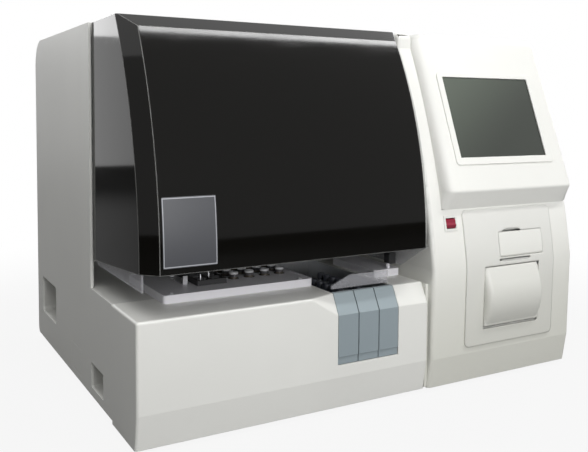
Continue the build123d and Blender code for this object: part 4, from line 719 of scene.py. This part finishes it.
# Nodes with a finish other than their slot's
LOOKS = {
    "grip_cups": "grip moulding",
    "connector_cup": "grip moulding",
    "switch_bezel": "housing_moulding",
    "printer_chassis": "housing_moulding",
    "tower_fascia": "tower moulding",
    "printer_panel": "panel moulding",
    "printer_flap": "tower moulding",
    "printer_door": "panel moulding",
    "front_fascia": "fascia moulding",
    "screen_frame": "monitor moulding",
    "cuvette_holder": "dark_plastic",
    "hood_skirts": "skirt acrylic",
    "rack_guard": "skirt acrylic",
}


class ANALYZER_OT_finishes(bpy.types.Operator):
    """Give every carried-over node of the frame its procedural finish"""

    bl_idname = "analyzer.finishes"
    bl_label = "Finishes"

    def execute(self, context):
        FINISH.update(finishes(context.scene.analyzer_colours))
        slots = {row["node"]: row["material_slot"] for row in frame["record"]["subparts"]}
        for name, node in frame["nodes"].items():
            node.data.materials.clear()
            node.data.materials.append(FINISH[LOOKS.get(name, slots[name])])
        return {"FINISHED"}


class ANALYZER_OT_hood_plate(bpy.types.Operator):
    """Blank plate on the lower left of the hood, bent to its curve"""

    bl_idname = "analyzer.hood_plate"
    bl_label = "Hood plate"

    def execute(self, context):
        sizes = context.scene.analyzer_sizes
        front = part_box("hood_shell")[0].y
        lip = placed((0.0, 0.0, 292.0))[2]
        curve = 0.843
        left, bottom = placed((36.5, 0.0, 302.5))[[0, 2]]

        def lay(across, up, out):
            """Points on the hood's front, an arc of radius curve that stands upright at the lip."""
            x = left + sizes.plate_width / 2.0 + across
            z = bottom + sizes.plate_height / 2.0 + up
            rise = (z - lip) / curve
            flat = np.sqrt(1.0 - rise**2)
            y = front + curve * (1.0 - flat) - out * flat
            return x, y, z + out * rise

        grid = plate(sizes.plate_width, sizes.plate_height, lay, 14)
        piece = mark_reach(surface("hood_plate", [grid], 30.0))
        dress(piece, FINISH["blank plate"], "hood", "dark_plastic")
        return {"FINISHED"}


class ANALYZER_OT_monitor_moulding(bpy.types.Operator):
    """Wedge-shaped monitor moulding whose skin rolls round its edges in one even radius"""

    bl_idname = "analyzer.monitor_moulding"
    bl_label = "Monitor moulding"

    def execute(self, context):
        radius = context.scene.analyzer_sizes.monitor_radius / MILLIMETRE
        low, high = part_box("monitor_housing")
        (left, _, foot_z), (right, rear, top) = measured(low), measured(high)
        lean = radians(20.65)
        rise = np.array([sin(lean), cos(lean)])
        tip_y, tip_z, edge_z = -12.0, 400.0, 395.0
        foot_y, foot_share, rear_share = 10.65, 0.2, 0.5
        crest_round, tip_round = 25.0, 8.0
        opening_left, opening_right = 678.0, 943.0
        opening_high, opening_low = 248.0, 60.0

        def profile(inset):
            """Side profile moved in by inset: flat top, leaning face and underside, round corners.
            Its two ends, behind the covers, move in by a share of it."""
            face = np.array([tip_y, tip_z]) + inset * np.array([cos(lean), -sin(lean)])
            crest = face + rise * (top - inset - face[1]) / rise[1]
            edge = np.array([tip_y - (tip_z - edge_z) * tan(lean), edge_z])
            under = np.array([foot_y, foot_z]) - edge
            under /= np.hypot(*under)
            inward = np.array([-under[1], under[0]])
            start = edge + inward * inset
            along = np.linalg.solve(np.stack((rise, -under), axis=1), start - face)
            tip = face + rise * along[0]
            foot = np.array([foot_y, foot_z]) + inward * inset * foot_share
            corners = [(rear, top - inset * rear_share), crest, tip, foot]
            return rounded_path(corners, (crest_round, tip_round))

        # The leaning face runs from the last point of the crest's arc to the first of the tip's
        upper, lower = ARC_STEPS, ARC_STEPS + 1
        angle = np.linspace(0.0, pi / 2.0, 9)
        insets = radius * (1.0 - np.sin(angle))
        rounding = radius * (1.0 - np.cos(angle))
        sides = [profile(inset) for inset in insets]
        face = sides[-1]
        heights = np.array([opening_high, opening_low]) * rise[1] + tip_z

        def with_opening(path):
            """The path with two more points on its leaning face, level with the opening's edges."""
            shares = (heights - face[upper, 1]) / (face[lower, 1] - face[upper, 1])
            more = path[upper] + shares[:, None] * (path[lower] - path[upper])
            return np.insert(path, lower, more, axis=0)

        sides = [with_opening(path) for path in sides]
        share = np.linspace(0.0, 1.0, len(sides[0]))
        drop = sides[0][0, 1] + share * (foot_z - sides[0][0, 1])
        back = np.stack((np.full_like(share, rear), drop), axis=-1)
        stations = [(left, back), *((left + x, path) for x, path in zip(rounding, sides))]
        beside = len(stations)
        stations += [(opening_left, sides[-1]), (opening_right, sides[-1])]
        stations += [(right - x, path) for x, path in zip(rounding[::-1], sides[::-1])]
        stations += [(right, back)]
        grid = np.stack([np.column_stack((np.full(len(path), x), path)) for x, path in stations])
        grid = placed(grid)

        # Four skins, so that the screen's opening stays free between them
        across = slice(beside, beside + 2)
        skins = [grid[: beside + 1], grid[beside + 1 :]]
        skins += [grid[across, : lower + 1], grid[across, lower + 1 :]]
        piece = surface("monitor_moulding", skins, 50.0)
        dress(piece, FINISH["monitor moulding"], "housing", "housing_moulding", "monitor_housing")
        return {"FINISHED"}


class ANALYZER_OT_paper_tongue(bpy.types.Operator):
    """End of the paper in the printer's slot, torn along the tear bar"""

    bl_idname = "analyzer.paper_tongue"
    bl_label = "Paper tongue"

    def execute(self, context):
        left, right, tooth, thickness = 786.0, 864.0, 0.35, 0.22
        deep = np.array([8.0, 0.0, -8.0, -12.5, -14.2])
        rise = np.array([243.5, 244.8, 245.8, 246.1, 246.0])
        across = np.linspace(left, right, 157)
        torn = tooth * (1.0 + np.sin(across * pi / 2.0))
        share = np.linspace(0.0, 1.0, len(deep))[:, None] ** 4
        thick = np.array([0.0, thickness])[:, None, None]
        y = np.broadcast_to(deep[:, None] + share * torn, (2, len(deep), len(across)))
        z = rise[:, None] + thick + np.zeros_like(torn)
        x = np.broadcast_to(across, y.shape)

        def border(sheet):
            """The sheet's border, once round from its first corner and closed."""
            far, back, near = sheet[-1, -2::-1], sheet[-2:0:-1, 0], sheet[:1, 0]
            return np.concatenate((sheet[0], sheet[1:, -1], far, back, near))

        lower, upper = placed(np.stack((x, y, z), axis=-1))
        grids = [lower, upper, np.stack((border(lower), border(upper)))]
        piece = surface("paper_tongue", grids, 30.0)
        dress(piece, FINISH["plain paper"], "housing", "roll_paper")
        return {"FINISHED"}


class ANALYZER_OT_sample_tubes(bpy.types.Operator):
    """Ten sample tubes in each rack: clear walls, settled blood and ribbed stoppers"""

    bl_idname = "analyzer.sample_tubes"
    bl_label = "Sample tubes"

    def execute(self, context):
        count, pitch, steps = 10, 0.024, 24
        outside, wall, play, lip = 0.0065, 0.0009, 0.0002, 0.001
        inner = outside - wall
        fill = inner - play
        blood_top, plasma_foot, plasma_top = 0.036, 0.0365, 0.064
        stopper, overlap, ribs, rib_depth = 0.0080, 0.004, 24, 0.035

        def bowl(radius):
            """Round foot of a tube: a quarter circle about the middle of the outer one."""
            angle = np.linspace(-pi / 2.0, 0.0, 9)
            return np.stack((radius * np.cos(angle), outside + radius * np.sin(angle)), axis=-1)

        # Still liquid: its surface sinks a little from the wall to the middle
        level = [(fill, 0.0), (fill * 0.86, -0.0004), (fill * 0.5, -0.0007), (0.0, -0.0008)]
        flat = [(0.0, 0.0), (fill * 0.95, 0.0), (fill, 0.0004)]
        liquids = (
            ("cells", bowl(fill), blood_top, "settled cells"),
            ("plasma", np.add(flat, (0.0, plasma_foot)), plasma_top, "plasma"),
        )

        # The stopper's profile: radii as shares of its own, and how far below its top they lie
        shares = np.array([0.0, 0.80, 0.98, 1.0, 1.0, 0.93, 0.93, 0.86, 0.40, 0.34, 0.0])
        drops = np.array([14.0, 14.0, 12.8, 12.0, 3.5, 3.0, 0.8, 0.0, 0.0, 1.2, 1.6]) * MILLIMETRE

        for number in (1, 2, 3):
            node, body = f"rack_{number}_tubes", f"sample_rack_{number}"
            low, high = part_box(node)
            length = high.z - low.z
            deep = (low.y + high.y) / 2.0 + (np.arange(count) - (count - 1) / 2.0) * pitch
            middle, foot = np.full(count, (low.x + high.x) / 2.0), np.full(count, low.z)
            feet = np.stack((middle, deep, foot), axis=-1)

            rim = length - overlap
            lips = [(outside, rim - lip), (outside - wall / 2.0, rim), (inner, rim - lip)]
            profile = np.concatenate((bowl(outside), lips, bowl(inner)[::-1]))
            tubes = surface(f"tubes_{number}", [turned(profile, feet, steps)])
            dress(tubes, FINISH["tube_clear"], body, "tube_clear", node)

            for name, base, height, finish in liquids:
                profile = np.concatenate((base, np.add(level, (0.0, height))))
                filling = surface(f"{name}_{number}", [turned(profile, feet, steps)])
                dress(filling, FINISH[finish], body, "tube_clear")

            profile = np.stack((shares * stopper, length - drops), axis=-1)
            grid = ribbed(profile, feet, stopper, ribs, rib_depth)
            stoppers = surface(f"stoppers_{number}", [grid])
            dress(stoppers, FINISH["stopper grey"], body, "cap_plastic")
        return {"FINISHED"}


class ANALYZER_OT_vial_caps(bpy.types.Operator):
    """Knurled caps on the reagent vials, each under a lid with a shallow dish, whose light grey is
    a painted highlight on the cap's top
    """

    bl_idname = "analyzer.vial_caps"
    bl_label = "Vial caps"

    def execute(self, context):
        low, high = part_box("vial_caps")
        pitch, radius, ribs, rib_depth = 0.034, 0.009, 32, 0.04
        # The lid's profile: radii as shares of its own, heights above the seam under it
        shares = np.array([0.0, 0.97, 1.0, 1.0, 0.96, 0.88, 0.72, 0.62, 0.0])
        lifts = np.array([0.1, 0.1, 0.6, 2.8, 3.7, 4.4, 4.6, 3.8, 3.8]) * MILLIMETRE
        seam = high.z - low.z - lifts.max()
        columns, rows = np.meshgrid((np.arange(4) - 1.5) * pitch, (np.arange(3) - 1.0) * pitch)
        x = (low.x + high.x) / 2.0 + columns.ravel()
        y = (low.y + high.y) / 2.0 + rows.ravel()
        feet = np.stack((x, y, np.full(x.size, low.z)), axis=-1)

        skirt = radius * 0.98
        profile = [(0.0, 0.0), (radius * 0.96, 0.0), (skirt, 0.0006), (skirt, seam), (0.0, seam)]
        caps = surface("knurled_caps", [ribbed(profile, feet, skirt, ribs, rib_depth)])
        dress(caps, FINISH["cap grey"], "housing", "cap_plastic", "vial_caps")

        # Painted highlight: the lids' light grey stands for the glint on the caps' tops
        profile = np.stack((shares * radius, seam + lifts), axis=-1)
        lids = surface("cap_lids", [turned(profile, feet, 48)])
        dress(lids, FINISH["lid grey"], "housing", "cap_plastic")
        return {"FINISHED"}


class ANALYZER_OT_tray_fittings(bpy.types.Operator):
    """Light bracket beside the cuvettes, two steel pins on their holder and the tray's screws"""

    bl_idname = "analyzer.tray_fittings"
    bl_label = "Tray fittings"

    def execute(self, context):
        tray_top, holder_top = 228.0, 238.0
        front, rear, middle = 159.0, 227.0, 148.0
        thick, width, post, heel, bend = 2.4, 9.0, 17.0, 12.0, 2.5
        base = tray_top + thick / 2.0
        corners = [(front, tray_top + post), (front, base), (rear, base), (rear, tray_top + heel)]
        grid = strip(rounded_path(corners, (bend, bend)), width, thick) + (middle, 0.0, 0.0)
        bracket = surface("tray_bracket", [placed(grid)], 30.0)
        dress(bracket, FINISH["lid grey"], "housing", "tray_plastic")

        radius, height = 1.3, 12.0
        profile = [(0.0, 0.0), (radius, 0.0), (radius, height - 1.0)]
        profile += [(radius * 0.7, height - 0.25), (0.0, height)]
        feet = placed([(172.0, 142.0, holder_top), (195.0, 157.0, holder_top)])
        pins = surface("holder_pins", [turned(np.array(profile) * MILLIMETRE, feet, 20)])
        dress(pins, FINISH["screw steel"], "housing", "hinge_steel")

        spots = placed([(x, y, tray_top) for x in (101.0, 366.0) for y in (106.0, 272.0)])
        turns = np.random.default_rng(11).uniform(0.0, pi, len(spots))
        screws = surface("tray_screws", [screw_heads(spots, 0.004, turns, "Z")], 30.0)
        dress(screws, FINISH["lid grey"], "housing", "tray_plastic")
        return {"FINISHED"}


class ANALYZER_OT_screws(bpy.types.Operator):
    """Pan-head screws on the rear panel and round the fans, and the bare rating plate"""

    bl_idname = "analyzer.screws"
    bl_label = "Screws"

    def execute(self, context):
        radius = context.scene.analyzer_sizes.screw_radius
        margin, fan_hole = 0.012, 0.0525
        low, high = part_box("rear_panel")
        left, right = low.x + margin, high.x - margin
        across = np.linspace(left, right, 5)
        edges = np.array([(x, z) for z in (low.z + margin, high.z - margin) for x in across])
        sides = np.array([(x, (low.z + high.z) / 2.0) for x in (left, right)])
        fan_low, fan_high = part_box("fan_frames")
        reach, height = (fan_high.z - fan_low.z) / 2.0, (fan_low.z + fan_high.z) / 2.0
        middles = (fan_low.x + reach, fan_high.x - reach)
        holes = (-fan_hole, fan_hole)
        fans = np.array([(x + i, height + j) for x in middles for i in holes for j in holes])
        spots = np.concatenate((edges, sides, fans))
        centres = np.stack((spots[:, 0], np.full(len(spots), high.y), spots[:, 1]), axis=-1)
        turns = np.random.default_rng(7).uniform(0.0, pi, len(centres))
        screws = surface("rear_screws", [screw_heads(centres, radius, turns, "Y")], 30.0)
        dress(screws, FINISH["screw steel"], "housing", "hinge_steel")

        middle = placed((590.0, 760.0, 330.0))
        plate_width, plate_height = 0.086, 0.048

        def lay(x, z, out):
            """Points on the flat rear panel, about the plate's middle."""
            return middle[0] + x, middle[1] + out, middle[2] + z

        grid = plate(plate_width, plate_height, lay)
        rating = mark_reach(surface("rating_plate", [grid], 30.0))
        dress(rating, FINISH["rating plate"], "housing", "machined_aluminium")
        return {"FINISHED"}


class ANALYZER_OT_stage(bpy.types.Operator):
    """Floor, studio light and the camera at the photograph's angle"""

    bl_idname = "analyzer.stage"
    bl_label = "Stage"

    def execute(self, context):
        scene = context.scene
        self.floor()
        scene.world = self.world()
        # Name, place, what it is turned to, width and height in metres, and power in watts
        for name, place, aim, size, power in (
            ("key", (-0.75, -2.0, 2.1), (0.1, -0.2, 0.4), (1.5, 1.5), 16.0),
            ("strip", (0.9, -1.16, 2.4), (0.9, -0.29, 0.7), (1.5, 0.12), 22.0),
            ("low", (-0.3, -2.5, 0.80), (0.0, -0.3, 0.28), (1.0, 1.0), 24.0),
            ("shoulder", (-1.0, -0.35, 1.35), (-0.45, -0.1, 0.6), (0.6, 0.6), 2.2),
            ("right", (2.6, 1.0, 1.8), (0.2, 0.1, 0.35), (2.0, 2.0), 46.0),
            ("rear", (-0.6, 2.9, 1.9), (0.0, 0.2, 0.35), (2.0, 2.0), 40.0),
        ):
            lamp = bpy.data.lights.new(name, "AREA")
            lamp.energy = power
            lamp.shape = "RECTANGLE"
            lamp.size, lamp.size_y = size
            holder = bpy.data.objects.new(name, lamp)
            holder.location = place
            holder.rotation_mode = "QUATERNION"
            holder.rotation_quaternion = (Vector(aim) - Vector(place)).to_track_quat("-Z", "Y")
            scene.collection.objects.link(holder)
        scene.camera = self.camera()
        scene.collection.objects.link(scene.camera)
        scene.view_settings.view_transform = "Standard"
        return {"FINISHED"}

    def floor(self):
        """A pale floor that the camera sees nearly white, and wholly white far from the part."""
        side = np.linspace(-6.0, 6.0, 3)
        across, deep = np.meshgrid(side, side)
        floor = surface("floor", [np.stack((across, deep, np.zeros_like(across)), axis=-1)])
        recipe = Recipe("floor")
        pale = recipe.node("ShaderNodeBsdfDiffuse", None, {"Color": (0.30, 0.30, 0.30, 1.0)})
        white = recipe.node("ShaderNodeEmission", None, {"Color": opaque(WHITE), "Strength": 1.0})
        camera = recipe.node("ShaderNodeLightPath")["Is Camera Ray"]
        far = recipe.node("ShaderNodeVectorMath", {"operation": "LENGTH"}, {0: recipe.place})
        share = camera * far["Value"].within(0.7, 1.8) * 0.10 + camera * 0.90
        sockets = {0: share, 1: pale["BSDF"], 2: white["Emission"]}
        mixed = recipe.node("ShaderNodeMixShader", None, sockets)["Shader"]
        recipe.node("ShaderNodeOutputMaterial", None, {"Surface": mixed})
        floor.data.materials.append(recipe.block)

    def world(self):
        """A studio that camera, gloss and clear pieces see white, and that lights softly."""
        recipe = Recipe("studio", bpy.data.worlds)
        seen = recipe.node("ShaderNodeLightPath")
        shown = seen["Is Camera Ray"].least(seen["Is Glossy Ray"])
        shown = shown.least(seen["Is Transmission Ray"])
        sockets = {0: shown}
        for place, strength in ((1, 0.15), (2, 1.0)):
            sky = {"Color": opaque(WHITE), "Strength": strength}
            sockets[place] = recipe.node("ShaderNodeBackground", None, sky)["Background"]
        mixed = recipe.node("ShaderNodeMixShader", None, sockets)["Shader"]
        recipe.node("ShaderNodeOutputWorld", None, {"Surface": mixed})
        return recipe.block

    def camera(self):
        """The photograph's camera: focal length and middle in pixels of its width, angles turned
        from a view along Y, and its place."""
        photo_width, focal, middle_x = 588.0, 755.0, 280.5
        yaw, pitch, roll = radians(29.09), radians(3.34), radians(0.28)
        ahead = Vector((sin(yaw) * cos(pitch), cos(yaw) * cos(pitch), -sin(pitch)))
        level = Vector((cos(yaw), -sin(yaw), 0.0))
        upright = level.cross(ahead)
        right = cos(roll) * level + sin(roll) * upright
        above = cos(roll) * upright - sin(roll) * level
        turn = Matrix((right, above, -ahead)).transposed().to_4x4()
        camera = bpy.data.cameras.new("camera")
        camera.lens = focal * camera.sensor_width / photo_width
        camera.shift_x = (photo_width / 2.0 - middle_x) / photo_width
        camera.shift_y = -0.12
        holder = bpy.data.objects.new("camera", camera)
        holder.matrix_world = Matrix.Translation((-0.877, -1.517, 0.562)) @ turn
        return holder


class ANALYZER_PT_panel(bpy.types.Panel):
    """Lists the analyzer's pieces and values"""

    bl_label = "Analyzer"
    bl_idname = "ANALYZER_PT_panel"
    bl_space_type = "VIEW_3D"
    bl_region_type = "UI"
    bl_category = "Analyzer"

    def draw(self, context):
        for group in (context.scene.analyzer_sizes, context.scene.analyzer_colours):
            for key in group.__annotations__:
                self.layout.prop(group, key)
        for operator in OPERATORS:
            self.layout.operator(operator.bl_idname)


OPERATORS = (
    ANALYZER_OT_finishes,
    ANALYZER_OT_hood_plate,
    ANALYZER_OT_monitor_moulding,
    ANALYZER_OT_paper_tongue,
    ANALYZER_OT_sample_tubes,
    ANALYZER_OT_vial_caps,
    ANALYZER_OT_tray_fittings,
    ANALYZER_OT_screws,
    ANALYZER_OT_stage,
)
CLASSES = (ANALYZER_PG_sizes, ANALYZER_PG_colours, *OPERATORS, ANALYZER_PT_panel)


def register():
    for item in CLASSES:
        bpy.utils.register_class(item)
    bpy.types.Scene.analyzer_sizes = bpy.props.PointerProperty(type=ANALYZER_PG_sizes)
    bpy.types.Scene.analyzer_colours = bpy.props.PointerProperty(type=ANALYZER_PG_colours)


def unregister():
    del bpy.types.Scene.analyzer_colours
    del bpy.types.Scene.analyzer_sizes
    for item in reversed(CLASSES):
        bpy.utils.unregister_class(item)


def main():
    """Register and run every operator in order."""
    register()
    for operator in OPERATORS:
        group, name = operator.bl_idname.split(".")
        getattr(getattr(bpy.ops, group), name)()


if __name__ == "__main__":
    main()
